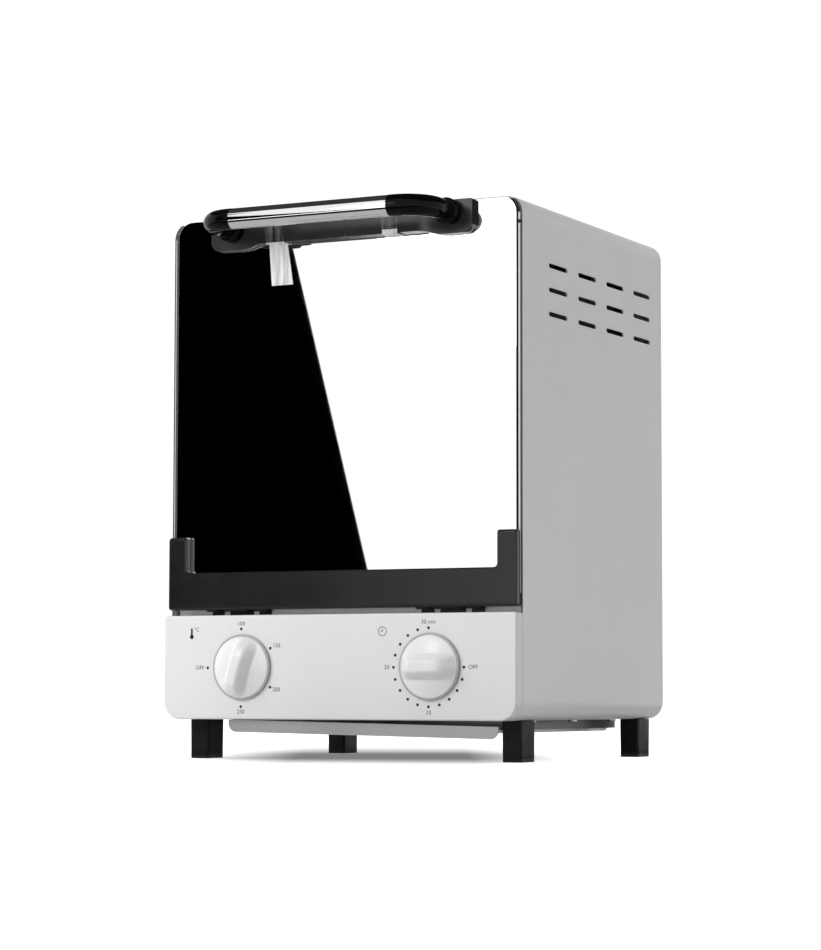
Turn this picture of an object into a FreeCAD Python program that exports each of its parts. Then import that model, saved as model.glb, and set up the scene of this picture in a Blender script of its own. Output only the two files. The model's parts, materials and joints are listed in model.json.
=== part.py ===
import FreeCAD, Part
import os
from math import asin, radians, sin, sqrt, tan

# Dry heat sterilizer: a small bench oven with a drop-down mirrored glass door.
# All sizes are in millimetres. X runs left to right, Y from the panel's front plane to the back,
# Z up from the floor. Everything is moved along Y at the end, so that the origin is below the middle.

# Housing
body_width = 244.0
body_depth = 230.0
body_height = 315.2
foot_height = 24.8
panel_height = 64.5
corner_radius = 11.0
sheet = 1.0
seat_gap = 0.1
run_gap = 0.3
cut_over = 2.0
quarter_turn = 90.0
full_turn = 360.0

# Outer shell
shell_setback = 9.2
shell_return = 25.0
rear_flange = 12.0
shell_relief_height = 2.0
slot_width = 3.0
slot_bridge = 16.5
slot_last_space = 34.7
slot_column_count = 4
slot_first_y = 61.8
slot_pitch_z = 14.9
slot_row_count = 3
slot_top_drop = 37.9

# Control panel
panel_sheet = 1.2
panel_edge_radius = 1.2
panel_top_radius = 1.6
panel_shelf_inset = 2.5
control_inset = 57.0
control_height = 32.2
shaft_hole_radius = 3.6

# Front frame, which surrounds the door
frame_side_gap = 1.5
surround_bottom_rise = 11.5
surround_top_drop = 11.0
sill_y = 14.6
sill_rise = 4.0
frame_top_drop = 1.3
frame_side_inset = 1.4

# Door glass and its inner frame
glass_setback = 8.0
glass_thickness = 3.5
glass_top_drop = 0.7
glass_bottom_rise = 13.5
glass_corner = 10.0
door_frame_depth = 7.5
door_frame_sheet = 1.0
door_frame_inset = 2.4
door_frame_rail = 19.0
door_frame_drop = 3.2
door_frame_lip = 2.0
door_frame_corner = 7.0
door_rear_gap = 0.7
top_edge_gap = 0.7

# Hinge strip
strip_setback = 2.35
strip_inset = 0.9
strip_rise = 3.5
strip_height = 23.3
strip_lug_width = 13.0
strip_lug_height = 22.4
strip_edge_radius = 2.0
strip_corner_radius = 2.5
strip_bevel = 0.8
strip_front_radius = 1.8
pocket_gap = 0.4

# Hinges
hinge_setback = 7.6
hinge_rise = 5.9
hinge_inset = 48.4
hinge_length = 42.2
knuckle_radius = 3.5
knuckle_length = 8.0
door_knuckle_length = 16.0
pin_radius = 1.5
pin_play = 0.05
pin_head_radius = 2.2
pin_head_length = 0.8
ear_thickness = 3.0
hinge_plate_thickness = 1.2
hinge_plate_rise = 0.4
hinge_plate_height = 7.6
hinge_notch_height = 4.2
hinge_leaf_thickness = 1.1
hinge_leaf_depth = 9.8
hinge_arm_depth = 3.0

# Handle
plate_inset = 30.5
plate_thickness = 4.6
plate_top_drop = 0.1
plate_lobe_height = 20.6
plate_middle_height = 17.6
plate_lobe_width = 20.0
plate_lobe_run = 17.0
plate_corner = 6.0
plate_top_corner = 1.5
handle_drop = 8.4
handle_reach = 33.0
bar_radius = 6.5
bar_wall = 1.2
elbow_reach = 21.5
elbow_radius = 6.6
elbow_straight = 3.0
handle_post_inset = 46.0
collar_radius = 8.2
collar_length = 7.0
collar_edge = 1.6
spigot_length = 8.0
handle_screw_radius = 2.0
handle_screw_depth = 12.0
handle_screw_head_radius = 4.0
handle_screw_head_length = 2.5
handle_screw_access = 4.4

# Clear tape strips, as distances from the plate's lobes and heights below the top of the glass
tape_thickness = 0.3
left_tape_top = (1.8, 14.0)
left_tape_bottom = (4.6, 19.6)
left_tape_end_drop = 44.2
right_tape_top = (25.4, 13.8)
right_tape_bottom = (20.8, 14.4)
right_tape_end_drop = 48.0
tape_start_drop = 6.5

# Knobs
knob_radius = 20.3
knob_height = 10.8
knob_gap = 0.7
knob_rim = 0.6
knob_cap_radius = 18.8
knob_shoulder = 1.3
knob_face_height = 4.6
knob_grip_width = 6.4
knob_grip_foot = 15.6
knob_grip_radius = 18.2
knob_grip_top_radius = 16.6
knob_hollow_share = 0.32
knob_grip_edge = 1.0
knob_cavity_radius = 16.0
knob_cavity_depth = 2.2
knob_hub_radius = 6.5
temperature_knob_turn = 17.0
timer_knob_turn = quarter_turn
shaft_radius = 3.0
shaft_play = 0.05
shaft_in_knob = 7.0
shaft_in_body = 16.0

# Thermostat and timer behind the panel
thermostat_plate_width = 44.0
thermostat_plate_height = 34.0
control_plate = 1.2
thermostat_radius = 16.0
thermostat_depth = 22.0
thermostat_base_depth = 8.0
thermostat_base_width = 30.0
timer_plate_size = 50.0
timer_width = 46.0
timer_height = 42.0
timer_depth = 30.0
bell_radius = 19.0
bell_depth = 8.0
bell_wall = 1.0
bell_gap = 4.0
bell_post_radius = 2.5
control_screw_reach = 12.0
control_screw_radius = 1.5
control_screw_length = 6.0

# Chamber
chamber_side_space = 19.0
chamber_top_space = 15.2
chamber_rise = 13.5
chamber_rear_space = 22.3
crumb_slot_bridge = 10.0
crumb_slot_width = 3.0
crumb_slot_side_space = 18.0
crumb_slot_end_space = 38.5
crumb_slot_column_count = 5
crumb_slot_row_count = 5

# Heating tubes
tube_radius = 4.0
tube_height = 20.0
tube_front = 44.0
tube_rear = 48.0
tube_overhang = 8.5
stud_radius = 1.5
stud_length = 4.0
bush_radius = 7.5
bush_length = 6.0
bush_spigot_radius = 5.6
bush_hole_gap = 0.2

# Rack rails, wire rack and instrument tray
rail_sheet = 1.2
rail_rear = 5.0
rail_front = 4.0
rail_bottom = 40.0
rail_top = 52.0
rail_ledge = 7.0
rail_first = 15.0
rail_last = 15.0
rail_count = 3
rail_mouth = 5.4
rack_level = 1
rack_wire = 2.0
rack_cross_wire = 1.3
rack_side_gap = 0.6
rack_rest_gap = 0.3
rack_rear = 14.0
rack_setback = 5.0
rack_wire_side = 12.0
rack_wire_count = 12
rack_corner = 8.0
tray_side_space = 19.0
tray_rear = 16.0
tray_height = 16.0
tray_wall = 0.8
tray_rim = 5.0
tray_corner = 8.0
tray_setback = 12.0

# Base plate, back panel and what they carry
base_inset = 11.5
base_front = 10.0
base_end = 3.0
base_slot_bridge = 8.0
base_slot_width = 4.0
base_slot_side_space = 50.0
base_slot_rear = 55.0
base_slot_column_count = 4
base_slot_row_count = 5
base_slot_front = 95.0
back_inset = 1.5
back_slot_bridge = 14.0
back_slot_width = 3.0
back_slot_side_space = 34.0
back_slot_pitch_z = 10.0
back_slot_column_count = 4
back_slot_row_count = 5
back_slot_drop = 30.0
screw_radius = 1.5
screw_head_radius = 3.0
screw_head_height = 1.6
screw_length = 7.0
back_screw_inset = 6.5
base_screw_inset = 18.0
base_screw_first = 60.0
base_screw_last = 46.0
base_screw_count = 3
gland_inset = 42.0
gland_height = 30.0
gland_radius = 6.0
gland_bore = 3.6
gland_flange_radius = 9.0
gland_flange = 4.0
gland_nut = 5.0
gland_inside = 3.0
block_width = 44.0
block_depth = 18.0
block_height = 14.0
block_rear = 45.0
block_inset = 82.0
block_groove = 3.0
block_groove_count = 4

# Feet
foot_width = 13.2
foot_depth = 19.8
foot_toe_width = 12.9
foot_toe_depth = 19.4
foot_inset = 6.5
foot_front = 21.5
foot_rear = 8.0
foot_edge = 1.5
foot_recess_radius = 3.8
foot_recess_depth = 18.0
foot_screw_hole = 1.7
foot_screw_over = 2.0

# Crumb tray and its rails
tray_tilt = 1.0
crumb_lip_inset = 27.5
crumb_lip_height = 7.6
crumb_lip_corner = 5.5
crumb_sheet = 0.8
crumb_front = 33.5
crumb_rear_space = 18.0
crumb_pan_inset = 34.0
crumb_pan_depth = 4.2
crumb_flange = 5.0
crumb_top_drop = 0.5
crumb_rear_slope = 9.0
crumb_rail_web = 1.0
crumb_rail_side_gap = 0.8
crumb_rail_ledge = 4.6
crumb_rail_slack = 0.35
crumb_rail_front = 6.5

# Door catch
catch_drop = 15.6
catch_height = 1.9
catch_front = 0.8
catch_depth = 8.0
catch_gap = 0.3

# Places worked out from the sizes above
half_width = body_width / 2
base_z = foot_height
top_z = base_z + body_height
panel_top = base_z + panel_height
shell_inner = half_width - sheet
surround_outer = shell_inner - seat_gap
surround_inner = surround_outer - sheet
glass_half = surround_inner - frame_side_gap
glass_back = glass_setback + glass_thickness
glass_top = top_z - glass_top_drop
glass_bottom = panel_top + glass_bottom_rise
door_frame_back = glass_back + door_frame_depth
frame_y = door_frame_back + door_rear_gap
frame_back = frame_y + sheet
shell_top_setback = glass_back + top_edge_gap
chamber_floor = panel_top + chamber_rise
chamber_top = top_z - chamber_top_space
chamber_back = body_depth - chamber_rear_space
chamber_width = body_width - 2 * chamber_side_space
chamber_height = chamber_top - chamber_floor
chamber_depth = chamber_back - frame_back
hinge_z = panel_top + hinge_rise
handle_z = top_z - handle_drop
control_z = base_z + control_height
strip_back = glass_setback - run_gap
back_outer = body_depth
back_inner = body_depth - sheet
front_reach = handle_reach + bar_radius
back_reach = body_depth + gland_flange
middle_y = (back_reach - front_reach) / 2

# Widths and depths that follow the body and the chamber
control_spacing = 2 * (half_width - control_inset)
hinge_spacing = 2 * (half_width - hinge_inset)
handle_post_x = half_width - handle_post_inset
bar_half_length = handle_post_x - elbow_reach
plate_half_width = half_width - plate_inset
plate_lobe_end = plate_half_width - plate_lobe_width
plate_lobe_start = plate_lobe_end - plate_lobe_run
slot_pitch_y = (body_depth - slot_first_y - slot_last_space) / (slot_column_count - 1)
slot_length = slot_pitch_y - slot_bridge
crumb_slot_pitch_x = (chamber_width - 2 * crumb_slot_side_space) / crumb_slot_column_count
crumb_slot_pitch_y = (chamber_depth - 2 * crumb_slot_end_space) / crumb_slot_row_count
crumb_slot_length = crumb_slot_pitch_x - crumb_slot_bridge
tube_spacing = chamber_depth - tube_front - tube_rear
rail_length = chamber_depth - rail_front - rail_rear
rail_height = chamber_height - rail_bottom - rail_top
rail_pitch = (rail_height - rail_first - rail_last) / (rail_count - 1)
rack_depth = chamber_depth - rack_setback - rack_rear
rack_wire_pitch = (chamber_width - 2 * rack_wire_side) / (rack_wire_count + 1)
tray_width = chamber_width - 2 * tray_side_space
tray_depth = rack_depth - tray_setback - tray_rear
base_slot_pitch_x = (body_width - 2 * base_slot_side_space) / base_slot_column_count
base_slot_pitch_y = (body_depth - base_slot_front - base_slot_rear) / (base_slot_row_count - 1)
base_slot_length = base_slot_pitch_x - base_slot_bridge
back_slot_pitch_x = (body_width - 2 * back_slot_side_space) / back_slot_column_count
back_slot_length = back_slot_pitch_x - back_slot_bridge
base_screw_x = half_width - base_screw_inset
base_screw_pitch = (body_depth - base_screw_first - base_screw_last) / (base_screw_count - 1)
gland_x = half_width - gland_inset
block_x = block_inset - half_width
block_y = body_depth - block_rear
crumb_lip_half_width = half_width - crumb_lip_inset
crumb_pan_half_width = half_width - crumb_pan_inset
crumb_length = body_depth - crumb_front - crumb_rear_space
crumb_rail_length = crumb_length - crumb_rail_front

os.makedirs("parts", exist_ok=True)
origin_shift = FreeCAD.Vector(0, -middle_y, 0)
X = FreeCAD.Vector(1, 0, 0)
Y = FreeCAD.Vector(0, 1, 0)
Z = FreeCAD.Vector(0, 0, 1)


def export(name, shape):
    """Write one named piece, moved so that the origin is below the middle."""
    placed = shape.copy()
    placed.translate(origin_shift)
    placed.exportStep("parts/" + name + ".step")


def box(x0, x1, y0, y1, z0, z1):
    """A block between two corners."""
    return Part.makeBox(x1 - x0, y1 - y0, z1 - z0, FreeCAD.Vector(x0, y0, z0))


def rod(radius, x, y, z, axis, length):
    """A round bar from a point along an axis."""
    return Part.makeCylinder(radius, length, FreeCAD.Vector(x, y, z), axis)


def mirrored(shape):
    """The same piece on the other side of the middle."""
    return shape.mirror(FreeCAD.Vector(0, 0, 0), X)


def joined(shapes):
    """One solid from pieces that overlap."""
    if len(shapes) == 1:
        return shapes[0]
    return shapes[0].multiFuse(shapes[1:]).removeSplitter()


def corner_arc(cx, cz, radius, start_sign_x, start_sign_z, y):
    """Middle point of a quarter round about a centre."""
    reach = radius / sqrt(2)
    return FreeCAD.Vector(cx + start_sign_x * reach, y, cz + start_sign_z * reach)


def rounded_face(x0, x1, z0, z1, low_radius, high_radius, y):
    """An upright rectangle with rounded lower and upper corners."""
    low_left = x0 + low_radius
    low_right = x1 - low_radius
    high_left = x0 + high_radius
    high_right = x1 - high_radius
    low_z = z0 + low_radius
    high_z = z1 - high_radius

    def at(x, z):
        return FreeCAD.Vector(x, y, z)
    edges = [
        Part.LineSegment(at(low_left, z0), at(low_right, z0)).toShape(),
        Part.Arc(at(low_right, z0), corner_arc(low_right, low_z, low_radius, 1, -1, y),
                 at(x1, low_z)).toShape(),
        Part.LineSegment(at(x1, low_z), at(x1, high_z)).toShape(),
        Part.Arc(at(x1, high_z), corner_arc(high_right, high_z, high_radius, 1, 1, y),
                 at(high_right, z1)).toShape(),
        Part.LineSegment(at(high_right, z1), at(high_left, z1)).toShape(),
        Part.Arc(at(high_left, z1), corner_arc(high_left, high_z, high_radius, -1, 1, y),
                 at(x0, high_z)).toShape(),
        Part.LineSegment(at(x0, high_z), at(x0, low_z)).toShape(),
        Part.Arc(at(x0, low_z), corner_arc(low_left, low_z, low_radius, -1, -1, y),
                 at(low_left, z0)).toShape(),
    ]
    return Part.Face(Part.Wire(edges))


def rounded_block(x0, x1, z0, z1, low_radius, high_radius, y0, y1):
    """An upright plate with rounded corners, from its front plane to its back plane."""
    return rounded_face(x0, x1, z0, z1, low_radius, high_radius, y0).extrude(FreeCAD.Vector(0, y1 - y0, 0))


def slot_along_x(x, y0, y1, z, length, width):
    """A cutter for a slot with round ends that runs along X, through a wall square to Y."""
    half = (length - width) / 2
    radius = width / 2
    body = box(x - half, x + half, y0, y1, z - radius, z + radius)
    ends = [rod(radius, x + side * half, y0, z, Y, y1 - y0) for side in (-1, 1)]
    return joined([body] + ends)


def slot_in_floor(x, y, z0, z1, length, width):
    """A cutter for a slot with round ends that runs along X, through a level sheet."""
    half = (length - width) / 2
    radius = width / 2
    body = box(x - half, x + half, y - radius, y + radius, z0, z1)
    ends = [rod(radius, x + side * half, y, z0, Z, z1 - z0) for side in (-1, 1)]
    return joined([body] + ends)


def slot_in_side(x0, x1, y, z, length, width):
    """A cutter for a slot with round ends that runs along Y, through a side wall."""
    half = (length - width) / 2
    radius = width / 2
    body = box(x0, x1, y - half, y + half, z - radius, z + radius)
    ends = [rod(radius, x0, y + side * half, z, X, x1 - x0) for side in (-1, 1)]
    return joined([body] + ends)


def centred(count, pitch):
    """Places of a row that is centred on zero."""
    return [(index - (count - 1) / 2) * pitch for index in range(count)]


def rear_screw_places():
    """Screw places in the rear flange of the shell, as X and Z."""
    side = half_width - back_screw_inset
    low = base_z + corner_radius + back_screw_inset
    high = top_z - corner_radius - back_screw_inset
    places = [(sign * side, z) for sign in (-1, 1) for z in (low, (low + high) / 2, high)]
    places += [(sign * half_width / 2, z) for sign in (-1, 1)
               for z in (base_z + back_screw_inset, top_z - back_screw_inset)]
    return places


def base_screw_places():
    """Screw places along the two lower returns of the shell, as X and Y."""
    rows = [base_screw_first + index * base_screw_pitch for index in range(base_screw_count)]
    return [(sign * base_screw_x, y) for sign in (-1, 1) for y in rows]


def foot_centres():
    """Middle of each foot, as X and Y, keyed by its place."""
    x = half_width - foot_inset - foot_width / 2
    front = foot_front + foot_depth / 2
    rear = body_depth - foot_rear - foot_depth / 2
    return {
        "front_left": (-x, front),
        "front_right": (x, front),
        "rear_left": (-x, rear),
        "rear_right": (x, rear),
    }


def vent_slots():
    """Cutters for the slots in the right side of the shell."""
    cutters = []
    for row in range(slot_row_count):
        z = top_z - slot_top_drop - row * slot_pitch_z
        for index in range(slot_column_count):
            y = slot_first_y + index * slot_pitch_y
            cutters.append(slot_in_side(shell_inner - cut_over, half_width + cut_over, y, z,
                                        slot_length, slot_width))
    return cutters


def outer_shell():
    """Wrap-round sheet cover with vent slots, lower returns and a rear flange."""
    outline = rounded_block(-half_width, half_width, base_z, top_z, corner_radius, corner_radius,
                            shell_setback, back_inner)
    inner_radius = corner_radius - sheet
    hollow = rounded_block(-shell_inner, shell_inner, base_z + sheet, top_z - sheet,
                           inner_radius, inner_radius, shell_setback - cut_over, back_inner - sheet)
    rear_half = half_width - rear_flange
    rear_hole = box(-rear_half, rear_half, back_inner - sheet - cut_over, back_inner + cut_over,
                    base_z + rear_flange, top_z - rear_flange)
    under_half = half_width - shell_return
    under_hole = box(-under_half, under_half, shell_setback - cut_over, back_inner - sheet,
                     base_z - cut_over, base_z + cut_over)
    top_relief = box(-half_width - cut_over, half_width + cut_over, shell_setback - cut_over,
                     shell_top_setback, top_z - shell_relief_height, top_z + cut_over)
    cutters = [rear_hole, under_hole, top_relief] + vent_slots() + [mirrored(c) for c in vent_slots()]
    for x, z in rear_screw_places():
        cutters.append(rod(screw_radius + seat_gap, x, back_inner - sheet - cut_over, z, Y,
                           sheet + 2 * cut_over))
    for x, y in base_screw_places():
        cutters.append(rod(screw_radius + seat_gap, x, y, base_z - cut_over, Z, sheet + 2 * cut_over))
    for x, y in foot_centres().values():
        cutters.append(rod(foot_screw_hole, x, y, base_z - cut_over, Z, sheet + 2 * cut_over))
    return outline.cut(hollow).cut(cutters)


def control_screw_places():
    """Screw places on the panel, hidden below the knobs, as X and Z."""
    return [(side * control_spacing / 2 + reach, control_z)
            for side in (-1, 1) for reach in (-control_screw_reach, control_screw_reach)]


def control_panel():
    """Pressed front panel with side walls that meet the shell and a shelf under the door."""
    block = rounded_block(-half_width, half_width, base_z, panel_top, corner_radius, panel_top_radius,
                          0, shell_setback - seat_gap)
    front_edges = [edge for edge in block.Edges if edge.BoundBox.YMax < seat_gap]
    block = block.makeFillet(panel_edge_radius, front_edges)
    inner = half_width - panel_sheet
    hollow = rounded_block(-inner, inner, base_z + panel_sheet, panel_top - panel_sheet,
                           corner_radius - panel_sheet, panel_top_radius - panel_sheet,
                           panel_sheet, shell_setback + cut_over)
    shelf_half = half_width - panel_shelf_inset
    shelf = box(-shelf_half, shelf_half, shell_setback - sheet, sill_y - seat_gap,
                panel_top - panel_sheet, panel_top)
    cutters = []
    for side in (-1, 1):
        cutters.append(rod(shaft_hole_radius, side * control_spacing / 2, -cut_over, control_z, Y,
                           panel_sheet + 2 * cut_over))
    for x, z in control_screw_places():
        cutters.append(rod(control_screw_radius + seat_gap, x, -cut_over, z, Y, panel_sheet + 2 * cut_over))
    return joined([block.cut(hollow), shelf]).cut(cutters)


def front_frame():
    """Light sheet behind the door: face with the chamber opening, side surrounds and a sill."""
    face_half = half_width - frame_side_inset
    face = rounded_block(-face_half, face_half, panel_top + sill_rise - sheet, top_z - frame_top_drop,
                         sheet, corner_radius - frame_top_drop, frame_y, frame_back)
    opening = box(-chamber_width / 2, chamber_width / 2, frame_y - cut_over, frame_back + cut_over,
                  chamber_floor, chamber_top)
    sides = []
    for sign in (-1, 1):
        low, high = sorted((sign * surround_inner, sign * surround_outer))
        sides.append(box(low, high, glass_setback, frame_back, panel_top + surround_bottom_rise,
                         top_z - surround_top_drop))
    sill_half = half_width - panel_shelf_inset
    sill_face = box(-sill_half, sill_half, sill_y, sill_y + sheet,
                    panel_top + seat_gap, panel_top + sill_rise)
    sill_top = box(-sill_half, sill_half, sill_y, frame_back, panel_top + sill_rise - sheet,
                   panel_top + sill_rise)
    return joined([face.cut(opening)] + sides + [sill_face, sill_top])


def chamber_liner():
    """Heated box, open at the front, with bush holes in its sides and crumb slots in its floor."""
    half = chamber_width / 2
    outer = box(-half - sheet, half + sheet, frame_back, chamber_back + sheet,
                chamber_floor - sheet, chamber_top + sheet)
    inner = box(-half, half, frame_back - cut_over, chamber_back, chamber_floor, chamber_top)
    cutters = [inner]
    for y, z in tube_places():
        cutters.append(rod(bush_spigot_radius + bush_hole_gap, -half - cut_over, y, z, X,
                           chamber_width + 2 * cut_over))
    middle = frame_back + chamber_depth / 2
    for x in centred(crumb_slot_column_count, crumb_slot_pitch_x):
        for y in centred(crumb_slot_row_count, crumb_slot_pitch_y):
            cutters.append(slot_in_floor(x, middle + y, chamber_floor - sheet - cut_over,
                                         chamber_floor + cut_over, crumb_slot_length, crumb_slot_width))
    return outer.cut(cutters)


def tube_places():
    """Middle line of each heating tube, as Y and Z, the lower pair first."""
    heights = (chamber_floor + tube_height, chamber_top - tube_height)
    return [(frame_back + tube_front + index * tube_spacing, z) for z in heights for index in range(2)]


def heating_tube(y, z):
    """One straight heating tube with a stud at each end."""
    half = chamber_width / 2 + sheet + tube_overhang
    tube = rod(tube_radius, -half, y, z, X, 2 * half)
    stud = rod(stud_radius, -half - stud_length, y, z, X, 2 * (half + stud_length))
    return joined([tube, stud])


def heater_bushes():
    """Ceramic bushes that carry the heating tubes in the side walls of the liner."""
    wall = chamber_width / 2 + sheet
    bushes = []
    for y, z in tube_places():
        collar = rod(bush_radius, wall, y, z, X, bush_length)
        spigot = rod(bush_spigot_radius, wall - sheet, y, z, X, sheet + bush_length)
        bore = rod(tube_radius + pin_play, wall - cut_over, y, z, X, bush_length + 2 * cut_over)
        bush = joined([collar, spigot]).cut(bore)
        bushes += [bush, mirrored(bush)]
    return Part.makeCompound(bushes)


def rail_levels():
    """Height of each rack ledge's upper face."""
    first = chamber_floor + rail_bottom + rail_first
    return [first + index * rail_pitch for index in range(rail_count)]


def rack_rail():
    """Right-hand rail: a plate on the chamber wall with three pairs of ledges."""
    wall = chamber_width / 2
    front = frame_back + rail_front
    bottom = chamber_floor + rail_bottom
    pieces = [box(wall - rail_sheet, wall, front, front + rail_length, bottom, bottom + rail_height)]
    for level in rail_levels():
        for z in (level - rail_sheet, level + rail_mouth):
            pieces.append(box(wall - rail_ledge, wall, front, front + rail_length, z, z + rail_sheet))
    return joined(pieces)


def rack_height():
    """Height of the rack's side wires' middle line."""
    return rail_levels()[rack_level] + rack_rest_gap + rack_wire


def wire_rack():
    """Welded wire rack: a rectangular frame with thinner wires from front to back."""
    half = chamber_width / 2 - rail_sheet - rack_side_gap - rack_wire
    front = frame_back + rack_setback
    back = front + rack_depth
    z = rack_height()
    start = FreeCAD.Vector(0, front, z)
    section = Part.Wire([Part.makeCircle(rack_wire, start, X)])
    loop = level_loop(-half, half, front, back, z, rack_corner)
    wires = [loop.makePipeShell([section], True, False)]
    for x in centred(rack_wire_count, rack_wire_pitch):
        wires.append(rod(rack_cross_wire, x, front, z, Y, rack_depth))
    return joined(wires)


def level_loop(x0, x1, y0, y1, z, radius):
    """A level rectangle with rounded corners, as a closed wire that starts at the middle of its front."""
    reach = radius - radius / sqrt(2)

    def at(x, y):
        return FreeCAD.Vector(x, y, z)
    middle = (x0 + x1) / 2
    edges = [
        Part.LineSegment(at(middle, y0), at(x1 - radius, y0)).toShape(),
        Part.Arc(at(x1 - radius, y0), at(x1 - reach, y0 + reach), at(x1, y0 + radius)).toShape(),
        Part.LineSegment(at(x1, y0 + radius), at(x1, y1 - radius)).toShape(),
        Part.Arc(at(x1, y1 - radius), at(x1 - reach, y1 - reach), at(x1 - radius, y1)).toShape(),
        Part.LineSegment(at(x1 - radius, y1), at(x0 + radius, y1)).toShape(),
        Part.Arc(at(x0 + radius, y1), at(x0 + reach, y1 - reach), at(x0, y1 - radius)).toShape(),
        Part.LineSegment(at(x0, y1 - radius), at(x0, y0 + radius)).toShape(),
        Part.Arc(at(x0, y0 + radius), at(x0 + reach, y0 + reach), at(x0 + radius, y0)).toShape(),
        Part.LineSegment(at(x0 + radius, y0), at(middle, y0)).toShape(),
    ]
    return Part.Wire(edges)


def instrument_tray():
    """Shallow tray with a flat rim that rests on the rack."""
    z0 = rack_height() + rack_wire
    y0 = frame_back + rack_setback + tray_setback
    half = tray_width / 2
    outer = upright_tub(-half, half, y0, y0 + tray_depth, z0, z0 + tray_height, tray_corner)
    inner = upright_tub(-half + tray_wall, half - tray_wall, y0 + tray_wall, y0 + tray_depth - tray_wall,
                        z0 + tray_wall, z0 + tray_height + cut_over, tray_corner - tray_wall)
    rim = upright_tub(-half - tray_rim, half + tray_rim, y0 - tray_rim, y0 + tray_depth + tray_rim,
                      z0 + tray_height - tray_wall, z0 + tray_height, tray_corner + tray_rim)
    return joined([outer, rim]).cut(inner)


def upright_tub(x0, x1, y0, y1, z0, z1, radius):
    """A block whose four upright corners are rounded."""
    block = box(x0, x1, y0, y1, z0, z1)
    upright = [edge for edge in block.Edges if edge.BoundBox.ZLength > (z1 - z0) / 2
               and edge.BoundBox.XLength < seat_gap and edge.BoundBox.YLength < seat_gap]
    return block.makeFillet(radius, upright)


def base_plate():
    """Floor of the housing, with slots that let crumbs fall on to the tray."""
    half = half_width - base_inset
    z0 = base_z + sheet
    plate = box(-half, half, base_front, back_inner - sheet - base_end, z0, z0 + sheet)
    cutters = []
    for x in centred(base_slot_column_count, base_slot_pitch_x):
        for row in range(base_slot_row_count):
            y = base_slot_front + row * base_slot_pitch_y
            cutters.append(slot_in_floor(x, y, z0 - cut_over, z0 + sheet + cut_over,
                                         base_slot_length, base_slot_width))
    for x, y in base_screw_places():
        cutters.append(rod(screw_radius + seat_gap, x, y, z0 - cut_over, Z, sheet + 2 * cut_over))
    for x, y in foot_centres().values():
        cutters.append(rod(foot_screw_hole, x, y, z0 - cut_over, Z, sheet + 2 * cut_over))
    return plate.cut(cutters)


def back_panel():
    """Flat rear sheet with vent slots, screwed to the shell's rear flange."""
    half = half_width - back_inset
    radius = corner_radius - back_inset
    plate = rounded_block(-half, half, base_z + back_inset, top_z - back_inset, radius, radius,
                          back_inner, back_outer)
    cutters = [rod(gland_radius + seat_gap, gland_x, back_inner - cut_over, base_z + gland_height, Y,
                   sheet + 2 * cut_over)]
    for x in centred(back_slot_column_count, back_slot_pitch_x):
        for row in range(back_slot_row_count):
            z = top_z - back_slot_drop - row * back_slot_pitch_z
            cutters.append(slot_along_x(x, back_inner - cut_over, back_outer + cut_over, z,
                                        back_slot_length, back_slot_width))
    for x, z in rear_screw_places():
        cutters.append(rod(screw_radius + seat_gap, x, back_inner - cut_over, z, Y, sheet + 2 * cut_over))
    return plate.cut(cutters)


def panhead_screw(x, y, z, axis, shank_length):
    """A small screw whose head sits on the point and whose shank runs back along the axis."""
    head = Part.makeCylinder(screw_head_radius, screw_head_height, FreeCAD.Vector(x, y, z), axis)
    rim = [edge for edge in head.Edges if edge.Closed
           and abs((edge.CenterOfMass - FreeCAD.Vector(x, y, z)).dot(axis) - screw_head_height) < seat_gap]
    head = head.makeFillet(screw_head_height / 2, rim)
    inward = axis.negative()
    shank = Part.makeCylinder(screw_radius, shank_length, FreeCAD.Vector(x, y, z), inward)
    drive = Part.makeBox(screw_radius, screw_radius, screw_radius)
    drive.translate(FreeCAD.Vector(-screw_radius / 2, -screw_radius / 2, -screw_radius / 2))
    drive.translate(FreeCAD.Vector(x, y, z) + axis * (screw_head_height + screw_radius / 4))
    return joined([head, shank]).cut(drive)


def back_screws():
    """Screws that hold the back panel."""
    return Part.makeCompound([panhead_screw(x, back_outer, z, Y, screw_length)
                              for x, z in rear_screw_places()])


def base_screws():
    """Screws from below that hold the base plate on the shell's returns."""
    return Part.makeCompound([panhead_screw(x, y, base_z, Z.negative(), screw_length)
                              for x, y in base_screw_places()])


def cord_gland():
    """Bushing through the back panel for the supply cord."""
    z = base_z + gland_height
    flange = rod(gland_flange_radius, gland_x, back_outer, z, Y, gland_flange)
    rim = [edge for edge in flange.Edges if edge.Closed and edge.BoundBox.YMin > back_outer + seat_gap]
    flange = flange.makeFillet(gland_flange / 3, rim)
    barrel = rod(gland_radius, gland_x, back_inner - gland_nut - gland_inside, z, Y,
                 sheet + gland_nut + gland_inside)
    nut = rod(gland_flange_radius, gland_x, back_inner - gland_nut, z, Y, gland_nut)
    bore = rod(gland_bore, gland_x, back_inner - gland_nut - gland_inside - cut_over, z, Y,
               sheet + gland_nut + gland_inside + gland_flange + 2 * cut_over)
    return joined([flange, barrel, nut]).cut(bore)


def terminal_block():
    """Terminal block on the base plate, with a groove for each wire."""
    z0 = base_z + 2 * sheet
    block = box(block_x - block_width / 2, block_x + block_width / 2, block_y, block_y + block_depth,
                z0, z0 + block_height)
    grooves = []
    for offset in centred(block_groove_count, block_width / block_groove_count):
        x = block_x + offset
        grooves.append(box(x - block_groove / 2, x + block_groove / 2, block_y - cut_over,
                           block_y + block_depth + cut_over, z0 + block_height / 2,
                           z0 + block_height + cut_over))
    return block.cut(grooves)


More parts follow.
